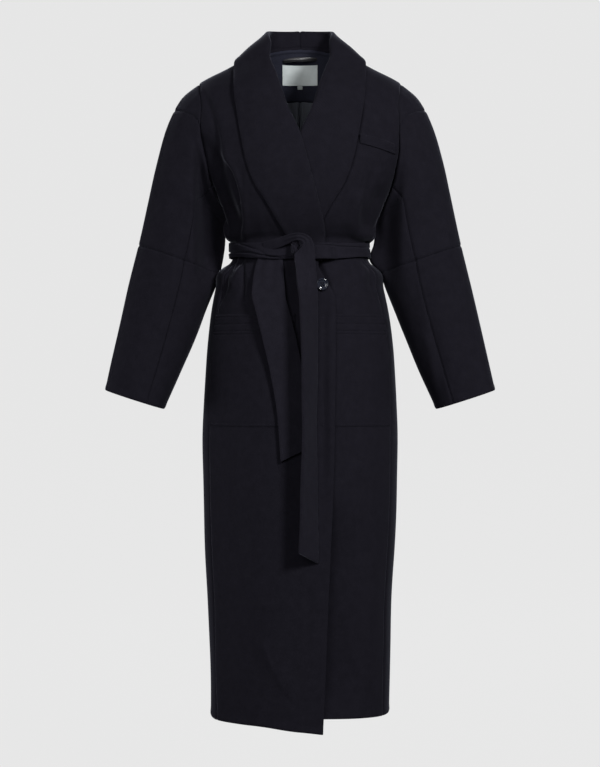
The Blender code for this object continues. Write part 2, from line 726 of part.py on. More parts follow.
def collar_station_lapel(side, lapel):
    if lapel.fold <= CHEST_TOP:
        start_x = -edge_at(lapel.fold)
    else:
        start_x = mix(-edge_at(CHEST_TOP), NECK_X, (lapel.fold - CHEST_TOP) / 100)
    track = []
    edge_point, normal, opening = front_over(side, start_x, lapel.fold, 0)
    loose = 1 + ROLL_LOOSE * shoulder_turn(lapel.fold)
    middle = edge_point - normal * CLOTH / 2 + opening * ROLL_OUT * loose
    for turn in (LAPEL_START,) + LAPEL_TURN:
        a = math.radians(turn)
        track.append(middle + ROLL_RADIUS * loose * (opening * math.sin(a) - normal * math.cos(a)))
    for step in FALL_STEPS:
        x, height = mix(start_x, lapel.edge_x, step), mix(lapel.fold, lapel.edge, step)
        lift = ROLL_GAP + SHOULDER_LIFT * shoulder_turn(height)
        track.append(front_over(side, x, height, lift)[0])
    return track


def collar_grid(side):
    """Rows from the centre back to the end of the lapel: a loft round the neck, then the lapel."""
    keys = [lapel.fold for lapel in LAPELS]
    line_at = smooth([-z for z in keys], [tuple(lapel) for lapel in LAPELS])
    stations = [collar_station_stand(stand) for stand in COLLAR_STANDS]
    stations.append(collar_station_lapel(side, LAPELS[0]))
    folds = [station[3] for station in stations]
    lengths = np.cumsum([0] + [(b - a).length for a, b in zip(folds, folds[1:])])
    tracks = [smooth(lengths, [tuple(station[k]) for station in stations])
              for k in range(len(stations[0]))]
    grid = []
    for row in range(NECK_ROWS):
        grid.append([Vector(track(lengths[-1] * row / NECK_ROWS)) for track in tracks])
    for point in grid[0]:
        point.x = COLLAR_SEAM / 2
    for row in range(LAPEL_ROWS + 1):
        z = mix(keys[0], keys[-1], row / LAPEL_ROWS)
        grid.append(collar_station_lapel(side, Lapel(*line_at(-z))))
    return grid


def ribbon_grid(stations, columns, rows):
    keys = np.cumsum([0] + [math.dist(a[:3], b[:3]) for a, b in zip(stations, stations[1:])])
    keys = keys / keys[-1]
    path = smooth(keys, [tuple(s) for s in stations])
    grid = []
    for row in range(rows, -1, -1):
        x, y, z, half, turn, slant = path(row / rows)
        turn = math.radians(turn)
        line = []
        for column in range(columns + 1):
            part = 2 * column / columns - 1
            line.append(Vector((x + part * half * math.cos(turn), y + part * half * math.sin(turn),
                                z + part * slant)))
        grid.append(line)
    return grid


def belt_lift(x):
    """How far the belt stands off the body section, over the layers that cross there."""
    over_left = 1 - ease(*BAND_STEP_LEFT, x)
    over_right = 1 - ease(LAP_FULL, LAP_NONE, -x)
    full = LAP_CHEST + COLLAR_CLOTH + BAND_LAYERS * ROLL_GAP
    return mix(BAND_LIFT, full, min(over_left, over_right))


def belt_band():
    bm = bmesh.new()
    loops = []
    profile = ((1.0, -0.5), (1.0, 0.5), (0.75, 1.0), (0.25, 1.0), (0.0, 0.5), (0.0, -0.5),
               (0.25, -1.0), (0.75, -1.0))
    for step in range(BAND_STEPS + 1):
        angle = mix(BAND_OPEN, 360 - BAND_OPEN, step / BAND_STEPS)
        side, turn = (LEFT, angle) if angle <= 180 else (RIGHT, 360 - angle)
        flat = ring_point(side, turn, BAND_SIDE_Z, 0)
        level = mix(BAND_SIDE_Z, BAND_FRONT_Z, max(0, math.cos(math.radians(angle))) ** 2)
        lift = belt_lift(flat.x) if abs(angle - 180) > 90 else BAND_LIFT
        loop = []
        for out, up in profile:
            z = level + up * BAND_HALF
            point = ring_point(side, turn, z, lift + BAND_THICK * out)
            loop.append(bm.verts.new(point * MM))
        loops.append(loop)
    count = len(profile)
    for a, b in zip(loops, loops[1:]):
        for k in range(count):
            bm.faces.new((a[k], a[(k + 1) % count], b[(k + 1) % count], b[k]))
    bm.faces.new(loops[0][::-1])
    bm.faces.new(loops[-1])
    bmesh.ops.recalc_face_normals(bm, faces=bm.faces)
    return finish(bm, "belt_band", "wool")


def belt_knot():
    bm = bmesh.new()
    bmesh.ops.create_cube(bm, size=2)
    bmesh.ops.subdivide_edges(bm, edges=bm.edges, cuts=4, use_grid_fill=True)
    for vert in bm.verts:
        shape = vert.co.lerp(vert.co.normalized(), KNOT_ROUND)
        vert.co = Vector([(KNOT_MIDDLE[k] + KNOT_HALF[k] * shape[k]) * MM for k in range(3)])
    return finish(bm, "belt_knot", "wool")


def keep_in(made, collection):
    for held_in in list(made.users_collection):
        held_in.objects.unlink(made)
    collection.objects.link(made)


def button():
    place = front_ring_point(RIGHT, BUTTON_X, BUTTON_Z, BUTTON_LIFT)
    ahead = front_ring_point(RIGHT, BUTTON_X, BUTTON_Z, BUTTON_LIFT + 1) - place
    turn = ahead.to_track_quat("Z", "Y").to_matrix().to_4x4()
    turn.translation = (place + ahead.normalized() * BUTTON_THICK / 2) * MM
    bpy.ops.mesh.primitive_cylinder_add(vertices=24, radius=BUTTON_RADIUS * MM, depth=BUTTON_THICK * MM)
    made = bpy.context.object
    made.name = made.data.name = "button"
    bm = bmesh.new()
    bm.from_mesh(made.data)
    face = max(bm.faces, key=lambda f: f.calc_center_median().z)
    bmesh.ops.inset_individual(bm, faces=[face], thickness=BUTTON_RIM * MM)
    bmesh.ops.inset_individual(bm, faces=[face], thickness=BUTTON_EDGE * MM, depth=-BUTTON_DISH * MM)
    bm.to_mesh(made.data)
    bm.free()
    edge = made.modifiers.new("Edge", "BEVEL")
    edge.width, edge.segments, edge.limit_method = BUTTON_EDGE * MM, 2, "ANGLE"
    edge.angle_limit = math.radians(60)
    for k in range(4):
        a = math.radians(45 + 90 * k)
        bpy.ops.mesh.primitive_cylinder_add(
            vertices=8, radius=BUTTON_HOLE * MM, depth=BUTTON_THICK * 2 * MM,
            location=(BUTTON_HOLE_RING * MM * math.cos(a), BUTTON_HOLE_RING * MM * math.sin(a), 0))
        hole = bpy.context.object
        hole.name = f"button_hole_{k + 1}"
        hole.hide_render, hole.display_type = True, "WIRE"
        hole.matrix_world = turn @ hole.matrix_basis
        keep_in(hole, cutters)
        cut = made.modifiers.new(f"Hole {k + 1}", "BOOLEAN")
        cut.object, cut.operation, cut.solver = hole, "DIFFERENCE", "EXACT"
    made.matrix_world = turn
    keep_in(made, coat)
    colour, roughness = CLOTHS["button"]
    made.data.materials.append(material("button", colour, roughness))


def back_surface(x, z, inwards):
    """A point inside the back near the neck, at this height and this far in from its outer face."""
    low = ring_point(LEFT, 180 - angle_for_x(x, CHEST_TOP), CHEST_TOP, 0)
    y, top, _ = back_top(x)
    step = (z - CHEST_TOP) / (top - CHEST_TOP)
    lean = (low.y - y) / (top - CHEST_TOP)
    return Vector((x, mix(low.y, y, step) - inwards * math.sqrt(1 + lean * lean), z))


def neck_pieces(back):
    low_row = ROWS.index(FACING_BOTTOM)
    half = BACK_HALF_COLUMNS
    columns = (half - NECK_COLUMN, half + NECK_COLUMN)
    facing = moved(block(back, (low_row, ALL_ROWS - 1), columns), -(CLOTH + LIE_GAP))
    sheet("back_neck_facing", facing, FACING_CLOTH, "wool")
    lining = moved(block(back, (ROWS.index(LINING_BOTTOM), low_row), columns), -(CLOTH + LIE_GAP))
    for point in lining[-1]:
        point.z -= LINING_DROP
    middle = NECK_COLUMN
    for row in lining:
        row[middle].y -= PLEAT_DEPTH
        for k in (-1, 1):
            near = row[middle + k]
            near.x = math.copysign(PLEAT_WIDTH, near.x)
            near.y = mix(row[middle].y + PLEAT_DEPTH, row[middle + 2 * k].y, PLEAT_EASE)
    sheet("back_lining", lining, LINING_CLOTH, "lining")

    on_facing = CLOTH + LIE_GAP + FACING_CLOTH + LABEL_LIFT
    label = [[back_surface(mix(-LABEL_X, LABEL_X, c / 4), mix(LABEL_BOTTOM, LABEL_TOP, r / 2),
                           on_facing) for c in range(5)] for r in range(3)]
    sheet("neck_label", label, LABEL_CLOTH, "label")
    tab = [[back_surface(mix(-TAB_X, TAB_X, c / 2), LABEL_BOTTOM - SEAM_GAP - TAB_DROP * (1 - r),
                         on_facing) for c in range(3)] for r in range(2)]
    sheet("size_tab", tab, LABEL_CLOTH, "label")
    loop = []
    for r in range(2):
        line = []
        for part in np.linspace(-1, 1, LOOP_POINTS):
            stand = LOOP_OUT * (1 - part * part) ** 0.8 if abs(part) < 1 else 0
            line.append(back_surface(LOOP_X * float(part), LOOP_Z + LOOP_HALF * (2 * r - 1),
                                     on_facing + stand))
        loop.append(line)
    sheet("hanger_loop", loop, LOOP_CLOTH, "loop")


CLOTHS = {
    "wool": ((0.012, 0.013, 0.020), 0.9),
    "lining": ((0.030, 0.031, 0.036), 0.4),
    "loop": ((0.32, 0.33, 0.34), 0.35),
    "label": ((0.30, 0.31, 0.32), 0.8),
    "button": ((0.010, 0.011, 0.016), 0.25),
}

for old in list(bpy.data.objects):
    bpy.data.objects.remove(old)
coat = bpy.data.collections.new("coat")
cutters = bpy.data.collections.new("cutters")
for collection in (coat, cutters):
    bpy.context.scene.collection.children.link(collection)

front_right = [row[::-1] for row in front_grid(RIGHT)]
front_left = front_grid(LEFT)
back_panel = [row[::-1] for row in back_grid()]
sheet("front_right", front_right, CLOTH, "wool")
sheet("front_left", front_left, CLOTH, "wool")
sheet("back", back_panel, CLOTH, "wool")
sleeve(RIGHT, "sleeve_right")
sleeve(LEFT, "sleeve_left")
collar_left = [row[::-1] for row in collar_grid(LEFT)]
collar_right = mirrored([row[::-1] for row in collar_grid(RIGHT)])
sheet("collar_left", collar_left, COLLAR_CLOTH, "wool", outward=True)
sheet("collar_right", collar_right, COLLAR_CLOTH, "wool", outward=True)
pocket_rows = (ROWS.index(POCKET_BOTTOM), ROWS.index(POCKET_TOP))
pocket_lift = LIE_GAP + POCKET_CLOTH
sheet("pocket_right",
      moved(block(front_right, pocket_rows, (0, FRONT_COLUMNS - POCKET_FIRST_COLUMN)), pocket_lift),
      POCKET_CLOTH, "wool")
sheet("pocket_left",
      moved(block(front_left, pocket_rows, (POCKET_FIRST_COLUMN, FRONT_COLUMNS)), pocket_lift),
      POCKET_CLOTH, "wool")
welt = [[front_ring_point(LEFT, mix(*WELT_X, c / 5),
                          mix(mix(*WELT_BOTTOM, c / 5), mix(*WELT_TOP, c / 5), r / 2),
                          WELT_GAP + POCKET_CLOTH) for c in range(6)] for r in range(3)]
sheet("chest_welt", welt, POCKET_CLOTH, "wool")
neck_pieces(back_panel)
belt_band()
belt_knot()
sheet("belt_end_long", ribbon_grid(LONG_END, 4, 26), BELT_CLOTH, "wool")
sheet("belt_end_short", ribbon_grid(SHORT_END, 4, 16), BELT_CLOTH, "wool")
button()
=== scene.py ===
"""Looks of the wrap coat: each cloth piece as a fine shell on its solid's form, with its creases,
seams, stitching and woven finishes, in a plain pale studio. Tables are in millimetres.
+Z is up, the front faces -Y and the wearer's left is +X."""

import math
from collections import namedtuple

import bpy
import numpy as np
from bpy.props import FloatProperty, FloatVectorProperty, PointerProperty
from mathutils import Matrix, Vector


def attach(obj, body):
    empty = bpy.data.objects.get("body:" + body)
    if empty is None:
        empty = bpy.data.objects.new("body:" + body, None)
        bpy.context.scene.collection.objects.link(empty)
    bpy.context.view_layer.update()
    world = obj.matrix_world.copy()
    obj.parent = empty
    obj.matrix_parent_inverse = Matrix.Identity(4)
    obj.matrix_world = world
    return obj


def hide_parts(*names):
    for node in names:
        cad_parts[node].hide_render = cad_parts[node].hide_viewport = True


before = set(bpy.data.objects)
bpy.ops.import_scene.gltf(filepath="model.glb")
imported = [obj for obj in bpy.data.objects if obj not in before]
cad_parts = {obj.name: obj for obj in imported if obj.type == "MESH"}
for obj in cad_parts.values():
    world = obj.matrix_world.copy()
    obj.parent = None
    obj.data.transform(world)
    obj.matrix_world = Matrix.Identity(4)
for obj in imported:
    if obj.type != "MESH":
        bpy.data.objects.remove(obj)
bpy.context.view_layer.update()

bl_info = {
    "name": "Wrap coat",
    "version": (1, 0, 0),
    "blender": (4, 5, 0),
    "location": "3D View > Sidebar > Coat",
    "description": "Models the cloth, belt and button of a long wrap coat over its CAD frame",
    "category": "Object",
}

MM = 0.001
RIGHT, LEFT = -1, 1          # the wearer's sides, as the sign of X
SIDES = {RIGHT: "right", LEFT: "left"}


def table(kind, *values):
    """Named rows, all of one kind."""
    return tuple(kind(*row) for row in values)


def sided(name):
    return [(side, f"{name}_{word}") for side, word in SIDES.items()]

# Cloth thicknesses and clearances
CLOTH, COLLAR_CLOTH, POCKET_CLOTH, BELT_CLOTH = 2.4, 3.0, 2.0, 4.0
FACING_CLOTH, LINING_CLOTH, LABEL_CLOTH, LOOP_CLOTH = 1.6, 1.0, 1.0, 1.2
SEAM_GAP = 0.5
LIE_GAP, ROLL_GAP = 0.35, 1.3

# Body sections: half width, depth to front and back, superellipse power, and how far the
# side is pressed in by the sleeve
Ring = namedtuple("Ring", "z half_width front back square dent")
BODY_RINGS = table(
    Ring,
    (-1225, 164, 148, 146, 2.30, 0), (-1105, 166, 150, 151, 2.30, 0), (-995, 170, 152, 155, 2.30, 0),
    (-885, 175, 153, 158, 2.30, 0), (-775, 179, 152, 160, 2.30, 0), (-700, 180, 150, 160, 2.30, 0),
    (-625, 178, 146, 158, 2.30, 0), (-550, 174, 140, 153, 2.30, 0), (-477, 166, 131, 145, 2.25, 0),
    (-440, 160, 125, 138, 2.25, 0), (-403, 151, 116, 129, 2.20, 0), (-384, 141, 108, 120, 2.20, 0),
    (-366, 127, 101, 111, 2.20, 0), (-348, 123, 99, 108, 2.20, 0), (-331, 125, 100, 109, 2.20, 2),
    (-318, 138, 109, 116, 2.20, 11), (-300, 150, 119, 124, 2.25, 21), (-270, 163, 129, 133, 2.30, 24),
    (-245, 172, 134, 138, 2.30, 22), (-209, 188, 136, 142, 2.30, 10), (-163, 203, 132, 144, 2.30, 0),
    (-120, 206, 122, 142, 2.30, 0), (-85, 202, 110, 135, 2.25, 0), (-60, 197, 101, 127, 2.20, 0),
)
DENT_MIDDLE, DENT_WIDTH, DENT_EDGE = 8, 35, 1.2
HEM_ROW, CHEST_TOP, UNDERARM = -1205, -60, -270
POCKET_TOP, POCKET_BOTTOM = -467, -668
POCKET_START = 0.25          # of the way from the front edge to the side seam
SEAM_HELD = 0.09             # part of a panel beside its side seam where folds die out

# Shoulder seam and neck
NECK_X, NECK_Z = 82, 20
TIP_X, TIP_Z = 187, -36
SEAM_Y = 10
BACK_NECK_Y, BACK_NECK_Z = 88, 40
NECK_ROUND = (50, NECK_X + 12)
ARMHOLE_FRONT, ARMHOLE_BACK = 70, 80
HOLE_MIDDLE, HOLE_HALF = (TIP_Z + UNDERARM) / 2, (TIP_Z - UNDERARM) / 2
HOLE_TOP_STEPS, HOLE_TOP_END, HOLE_SIDE_STEPS = 14, 0.04, 40
NECK_HALF = 4 / 9            # part of the back's half width that the facing covers

# Side seam, set forward of the side below the waist
SEAM_FORWARD = 25            # degrees
SEAM_LOW, SEAM_HIGH = -345, UNDERARM

# How far each front reaches past the centre line
Reach = namedtuple("Reach", "z past")
FRONT_EDGE = table(
    Reach,
    (-1225, 39), (-1000, 48), (-713, 59), (-470, 62), (-440, 61), (-423, 55), (-400, 42), (-378, 32),
    (-348, 36), (-331, 38), (-305, 36), (-272, 28), (-212, 13), (-142, -6), (-90, -30), (-60, -41),
)
LAP_CHEST, LAP_SKIRT = 9.6, 8.8
LAP_FULL, LAP_NONE = 60, 140
LAP_HIGH, LAP_LOW = -395, -440

# Hem levels: on the fronts at the edge, halfway and at the side seam, on the back from right to left
HEM_FRONTS = {RIGHT: (-1213, -1199, -1201), LEFT: (-1188, -1189, -1193)}
HEM_BACK, HEM_BLEND = (-1201, -1197, -1193), -1025

# Folds and creases: a line across a panel, how far its middle bows to the side, its half width
# and its height. On the fronts and sleeves x runs from the centre line to the piece's own side
Fold = namedtuple("Fold", "start_x start_z end_x end_z bow width height")
FADE_IN, FADE_OUT = (-0.15, 0.2), (0.7, 1.1)     # parts of its line over which a fold fades
FOLDS = {
    "front_right": table(
        Fold,
        (120, -366, 158, -440, 0, 10, -6), (96, -366, 100, -462, 0, 10, -5),
        (110, -366, 124, -425, 0, 8, 4), (-40, -400, -40, -760, 0, 13, -3.2),
        (-58, -430, -57, -760, 0, 9, 2), (70, -1045, 12, -1150, 0, 14, 3),
        (172, -150, 130, -326, 0, 22, -17), (140, -170, 100, -322, 0, 15, 6),
    ),
    "front_left": table(
        Fold,
        (118, -366, 140, -430, 0, 10, -5), (75, -850, 62, -1225, 0, 38, -7),
        (150, -240, 118, -324, 0, 14, -8), (104, -250, 88, -322, 0, 13, 5),
    ),
    "back": table(
        Fold,
        (-70, -330, -84, -190, 0, 14, -6), (64, -330, 80, -200, 0, 14, -6),
        (-76, -366, -92, -560, 0, 16, -6), (70, -366, 90, -600, 0, 16, -6), (6, -366, 0, -520, 0, 18, -4),
    ),
}
CREASES = {
    "front_right": table(
        Fold,
        (95, -225, 92, -330, 3, 4, 1.6), (176, -58, 145, -184, -5, 7, -4.0),
        (141, -205, 131, -330, 2, 7, 3.0), (160, -62, 136, -160, -4, 10, 1.4),
        (103, -215, 101, -330, 3, 5, -1.8), (95, -370, 94, -448, -2, 3.5, 2.4),
        (103, -368, 101, -440, -2, 3.5, -3.0), (104, -362, 124, -404, 3, 6, -7.0),
        (146, -185, 106, -318, 10, 6, -3.0), (76, -372, 70, -420, 2, 5, -1.2),
        (134, -372, 168, -418, 4, 5, 2.6), (128, -376, 150, -452, -4, 4, -3.0),
        (60, -300, 48, -334, 0, 5, -1.0), (-40, -408, -38, -820, 0, 6, -2.4),
        (-54, -425, -53, -820, 0, 5, 1.8), (72, -270, 66, -332, 2, 5, 0.9),
        (66, -1052, 14, -1152, 4, 4, 2.0), (54, -1072, 8, -1170, 2, 5, -1.1),
        (120, -690, 108, -1010, -10, 20, -1.6), (30, -760, 26, -1010, 8, 22, 1.2),
        (150, -900, 144, -1190, -4, 16, 1.6), (166, -110, 150, -215, -6, 9, -2.2),
        (128, -90, 140, -150, 4, 10, 1.2),
    ),
    "front_left": table(
        Fold,
        (134, -205, 114, -322, -8, 7, -2.2), (122, -232, 98, -326, -5, 5, 1.5),
        (140, -262, 120, -326, -4, 4, 1.2), (95, -372, 97, -430, 2, 5, -1.2),
        (108, -372, 118, -440, 2, 5, 1.1), (70, -374, 66, -415, -2, 5, -0.9),
        (128, -376, 150, -442, 4, 6, -1.8), (26, -366, 54, -428, 4, 4.5, -9.0),
        (42, -830, 34, -1240, 0, 46, -20.0), (150, -80, 160, -150, 6, 14, -2.4),
        (130, -110, 150, -190, -8, 16, 1.4), (120, -700, 112, -1080, 12, 22, 1.5),
        (92, -560, 88, -860, -6, 18, -1.1), (148, -820, 140, -1180, 6, 16, -1.5),
    ),
    "back": table(
        Fold,
        (-30, -366, -44, -470, -3, 7, -2.6), (34, -366, 46, -500, 4, 7, -2.8),
        (-112, -368, -136, -470, -5, 7, -2.8), (108, -368, 130, -450, 5, 6, -2.6),
        (-52, -366, -60, -430, 2, 5, 1.8), (88, -366, 104, -460, 3, 6, 1.9),
        (18, -366, 22, -430, 1, 5, 1.6), (-36, -330, -50, -230, 4, 7, -2.4),
        (30, -330, 38, -250, -3, 6, -2.2), (-104, -330, -132, -215, -6, 7, -2.6),
        (100, -330, 124, -235, 6, 7, -2.4), (-4, -330, -8, -262, 2, 6, 1.6),
        (-120, -120, -60, -64, 10, 16, 1.6), (124, -130, 70, -70, -10, 16, 1.4),
        (-128, -620, -120, -1080, 12, 24, -2.2), (-40, -640, -34, -1150, -14, 26, 1.8),
        (52, -600, 60, -1120, 12, 24, -1.8), (130, -700, 124, -1160, -10, 22, 2.0),
        (4, -820, -6, -1190, 8, 24, 1.4),
    ),
    "sleeve_right_front": table(
        Fold,
        (186, -128, 172, -330, -10, 12, 3.0), (198, -118, 186, -300, -10, 9, -2.6),
        (222, -140, 216, -318, 8, 18, -1.6), (250, -210, 262, -330, -6, 16, 1.4),
        (206, -352, 196, -420, 4, 8, -2.0), (230, -352, 244, -440, -4, 10, 1.4),
        (268, -348, 290, -480, 6, 14, -1.5), (246, -500, 270, -606, 6, 10, -1.6),
        (300, -470, 326, -590, -6, 14, 1.4),
    ),
    "sleeve_left_front": table(
        Fold,
        (190, -128, 178, -300, -8, 10, -2.2), (206, -120, 214, -190, 6, 8, 1.8),
        (222, -150, 210, -320, 8, 16, 1.8), (252, -220, 258, -340, -6, 16, -1.5),
        (200, -356, 210, -440, 5, 8, -1.8), (226, -500, 246, -600, 5, 9, 2.6),
        (236, -480, 258, -600, 4, 7, -2.0), (280, -380, 310, -540, -8, 16, 1.5),
        (256, -352, 268, -420, 3, 9, -1.4),
    ),
    "sleeve_right_back": table(
        Fold,
        (205, -130, 196, -310, 8, 12, -2.4), (226, -150, 222, -300, -6, 12, 2.0),
        (186, -340, 222, -372, 3, 8, -3.2), (196, -366, 240, -392, -3, 8, 2.4),
        (214, -396, 262, -410, 3, 9, -2.6), (250, -430, 290, -600, 8, 14, 1.8),
        (270, -320, 282, -440, -5, 12, -1.6),
    ),
    "sleeve_left_back": table(
        Fold,
        (204, -136, 200, -300, -6, 12, 2.0), (228, -140, 218, -310, 8, 12, -2.2),
        (190, -338, 228, -364, -3, 8, 2.6), (192, -360, 240, -388, 3, 8, -3.2),
        (216, -392, 266, -404, -3, 9, 2.0), (244, -440, 286, -590, -8, 14, -1.8),
        (268, -330, 284, -430, 5, 12, 1.6),
    ),
}
# The brink on the right front beyond which the cloth falls back to the underarm
BRINK_Z, BRINK_X = (-345, -303, -249, -212, -182, -140), (99, 102, 107, 119, 138, 166)
BRINK_WIDTH, BRINK_DEPTH, BRINK_RIDGE, BRINK_HELD = 10, 12, 1.5, 34
BRINK_BACK, BRINK_TOP, BRINK_FOOT = (9, 30), (-165, -225), (-346, -328)
BRINK_RETURN, RIDGE_BEFORE, RIDGE_WIDTH = 0.8, 3, 5
# Cloth that blouses out at the sides above and below the belt: level, reach, height
BLOUSE, BLOUSE_SIDE = ((-321, 13, 9), (-391, 15, 7)), (80, 118)
# The left sleeve's inner side leans on the waist: level, reach, depth
LEAN_Z, LEAN_REACH, LEAN_DEPTH, LEAN_SIDE = -361, 21, 15, (172, 148)
# The inner side of each sleeve, next to the body, hangs back
HOLLOW_WIDTH, HOLLOW_TOP, HOLLOW_FOOT, HOLLOW_FRONT = 26, (-150, -215), (-430, -350), 45
HOLLOW_SEWN = (2, 36)        # from the armhole seam
HOLLOWS = {RIGHT: (197, 42, -22), LEFT: (187, 26, 0)}   # where each begins, its depth and back end
# Slow unevenness of hung cloth: wavelengths across and up, and height
Wave = namedtuple("Wave", "across up start height")
DRAPE = table(
    Wave,
    (137, 611, 0.4, 0.55), (89, -423, 1.9, 0.35), (211, 283, 2.7, 0.5), (-61, 347, 0.9, 0.22),
    (173, -191, 4.1, 0.3),
)

# Sleeve sections below the armhole: the two ends of the width, middle, half depth, power
Section = namedtuple("Section", "outer_x outer_z inner_x inner_z middle_y half_depth square")
SLEEVE_SECTIONS = table(
    Section,
    (264, -180, 138, -307, 6, 77, 2.1), (281, -254, 139, -330, 8, 74, 2.1),
    (299, -336, 149, -388, 6, 70, 2.1), (320, -425, 178, -466, 2, 65, 2.1),
    (340, -514, 216, -560, -4, 59, 2.1), (359, -603, 251, -638, -10, 53, 2.1),
)
SHOULDER_STEPS = (0.25, 0.6)
SHOULDER_ROUND, SHOULDER_POWER, ARMHOLE_GAP = 17, 0.75, 1.0
ARMHOLE_TURN = (0, 40, 80, 104, 140, 180)
ARMHOLE_PART = (0, 0.17, 0.40, 0.76, 0.90, 1)
SLEEVE_CLEAR, DENT_CLEAR, CLEAR_FROM = 3.2, 0.11, (-0.03, 0.025)
LEAST_SLOPE, MOVED_FROM = 0.4, (-0.002, 0.05)
CAP_HALF, CAP_HEIGHT, CAP_END, CAP_POWER = 80, 68, 0.4, 0.8
ELBOW_SECTION = 2
FRONT_SEAM, BACK_SEAM = (104, 100, 117), (256, 258, 258)
SLEEVE_ROW, SLEEVE_ROW_WIDTH, SLEEVE_ROW_PULL = 7, 1.8, 0.6    # a pulled row beside the long seams
LONG_SEAM_TURN = 0.25        # degrees from a long seam to each edge
# Where the front's creases pass into the back's, what the armhole seam holds, and the slow drape
SLEEVE_FRONT, SLEEVE_SEWN, SLEEVE_DRAPE, DRAPE_SHIFT = (-25, 25), (0, 30), 0.7, 40

# Collar stations round the neck: inner edge, fold and outer edge of the hidden face
Stand = namedtuple("Stand", "inner fold edge")
COLLAR_STANDS = table(
    Stand,
    ((0, 88, 40.8), (0, 93, 74), (0, 110, 3)), ((43, 77, 35.8), (43, 82, 72.5), (68, 91, 0)),
    ((70, 46, 27), (60, 47, 66), (106, 62, -5)), ((81, 10, 21.8), (60, 10, 54), (117, 10, 5.5)),
    ((74, -16, 22.5), (56, -18, 39), (119, -18, 0)),
)
# Lapel stations: height on the fold line, and the outer edge. Heights above the top section
# are hundredths of the way over the shoulder, added to its level
Lapel = namedtuple("Lapel", "fold edge_x edge")
LAPELS = table(
    Lapel,
    (-10, 119, -17), (-34, 117, -43), (-56, 114, -78), (-70, 111, -100), (-95, 106, -130), (-142, 96, -180),
    (-212, 80, -228), (-270, 56, -268), (-305, 36, -303), (-331, 18, -330), (-352, -4, -351),
    (-371, -18, -371),
)
OVER_PARTS = 100
ROLL_RADIUS, ROLL_OUT, ROLL_LOOSE = 2.4, 1.0, 0.7
SHOULDER_LIFT, SHOULDER_REACH = 4.2, 26
ROLL_TURNS = (50, 74, 98, 122, 150, 180)     # on the lapel, for the stand's edge, 0, 45 ... 180
# Degrees in a step of the bend, the step at the fold, and points over the stand and round the roll
ROLL_TURN, ROLL_MIDDLE, STAND_STEPS, ROLL_STEPS = 45, 3, 18, 13
ASIDE, ABOVE = 2.0, 1.0      # steps over a front that give its normal
FALL_ROUND, COLLAR_SEAM, COLLAR_DRAPE = 3, 0.6, 0.4
# Seams of the collar: fullness beside the centre back and the dip there, and the neck's line
CENTRE_SWELL, CENTRE_SIDE, CENTRE_WIDTH, CENTRE_DIP, CENTRE_SOFT = 0.5, 5, 3, 1.4, 1.6
NECK_SEAM, NECK_DIP, NECK_SOFT, NECK_END = 5.5, 1.3, 1.5, (105, 80)

FACING_BOTTOM, LINING_BOTTOM, LINING_DROP, FACING_RISE = -52, -306, 3.4, 3.0
PLEAT_WIDTH, PLEAT_DEPTH, PLEAT_LINE = 14, 13, 2.8
WELT_X, WELT_TOP, WELT_BOTTOM, WELT_GAP, WELT_ROW = (107, 172), (-143, -158), (-161, -177), 0.7, 3.0
WELT_ACROSS, WELT_STEP, WELT_UP, WELT_RISE, WELT_PULL = 66, 1.8, 19, 1.2, 1.4
TACK_ROWS, TACK_COLUMNS = 7, (-3, -4, -5)    # stitches that hold the welt's lower corner
POCKET_ROWS, POCKET_HEM_ROW = (5.5, 18.0, 31.0), 5.5     # stitch rows from the pocket's edges
# The pocket's hem band: height, finer rows below it, fullness, edge and line; then the pressed edges
POCKET_BAND, POCKET_BELOW, POCKET_FULL, POCKET_EDGE, POCKET_LINE = 36.0, 6, 0.9, (38, 35), 0.8
POCKET_PRESS, POCKET_SOFT, PULL_WIDTH = 1.4, 2.4, 1.6
STITCH_WIDTH, STITCH_RISE, STITCH_PULL, STITCH_PART, STITCH_FLAT = 0.45, 0.1, 0.9, 0.36, 0.8
POCKET_ACROSS, POCKET_UP, POCKET_STEP, POCKET_RISE, BAND_ROWS = 215, 159, 3.7, 3.0, 48
LABEL_X, LABEL_TOP, LABEL_BOTTOM, LABEL_LIFT, LABEL_CURL = 33, 12, -24, 2.6, 0.9
LABEL_ACROSS, LABEL_UP, LABEL_STEP, LABEL_WAVE, LABEL_EDGE = 66, 38, 2.5, 4.5, 0.3
TAB_X, TAB_DROP, TAB_TOP = 4.6, 6, LABEL_BOTTOM - SEAM_GAP
TAB_ACROSS, TAB_STEP, TAB_UP, TAB_RISE = 12, 1.5, 9, 1.2
LOOP_X, LOOP_Z, LOOP_HALF, LOOP_OUT = 32, 21.5, 4.2, 10
LOOP_ACROSS, LOOP_STEP, LOOP_ROWS, LOOP_EDGE = 62, 1.4, 13, 0.4
# The loop narrows, leans and sags towards its ends, stands off the facing, swells and twists
LOOP_NARROW, LOOP_LEAN, LOOP_SAG, LOOP_POWER, LOOP_FULL, LOOP_TWIST = 0.35, 1.6, 1.2, 0.8, 1.8, 0.6

BUTTON_X, BUTTON_Z, BUTTON_LIFT = -38, -414, 2.4
BUTTON_HOLE, BUTTON_HOLE_RING, BUTTON_FACE = 1.1, 3.0, 2.6
BUTTON_STEPS, BUTTON_SHARP, DRILL_SIDES, DRILL_LONG = 56, 40, 20, 20
THREAD_RISE, THREAD_PART, THREAD_POINTS = 0.4, 0.95, 5
BUTTON_PROFILE = (
    (0, 0), (6, 0), (9.6, 0.5), (10.7, 1.4), (11, 2.4), (10.9, 3.4), (10.4, 4.2), (9.6, 4.5), (8.8, 4.3),
    (8.1, 3.6), (7.4, 3.0), (5.5, 2.75), (2.5, 2.62), (0, BUTTON_FACE),
)

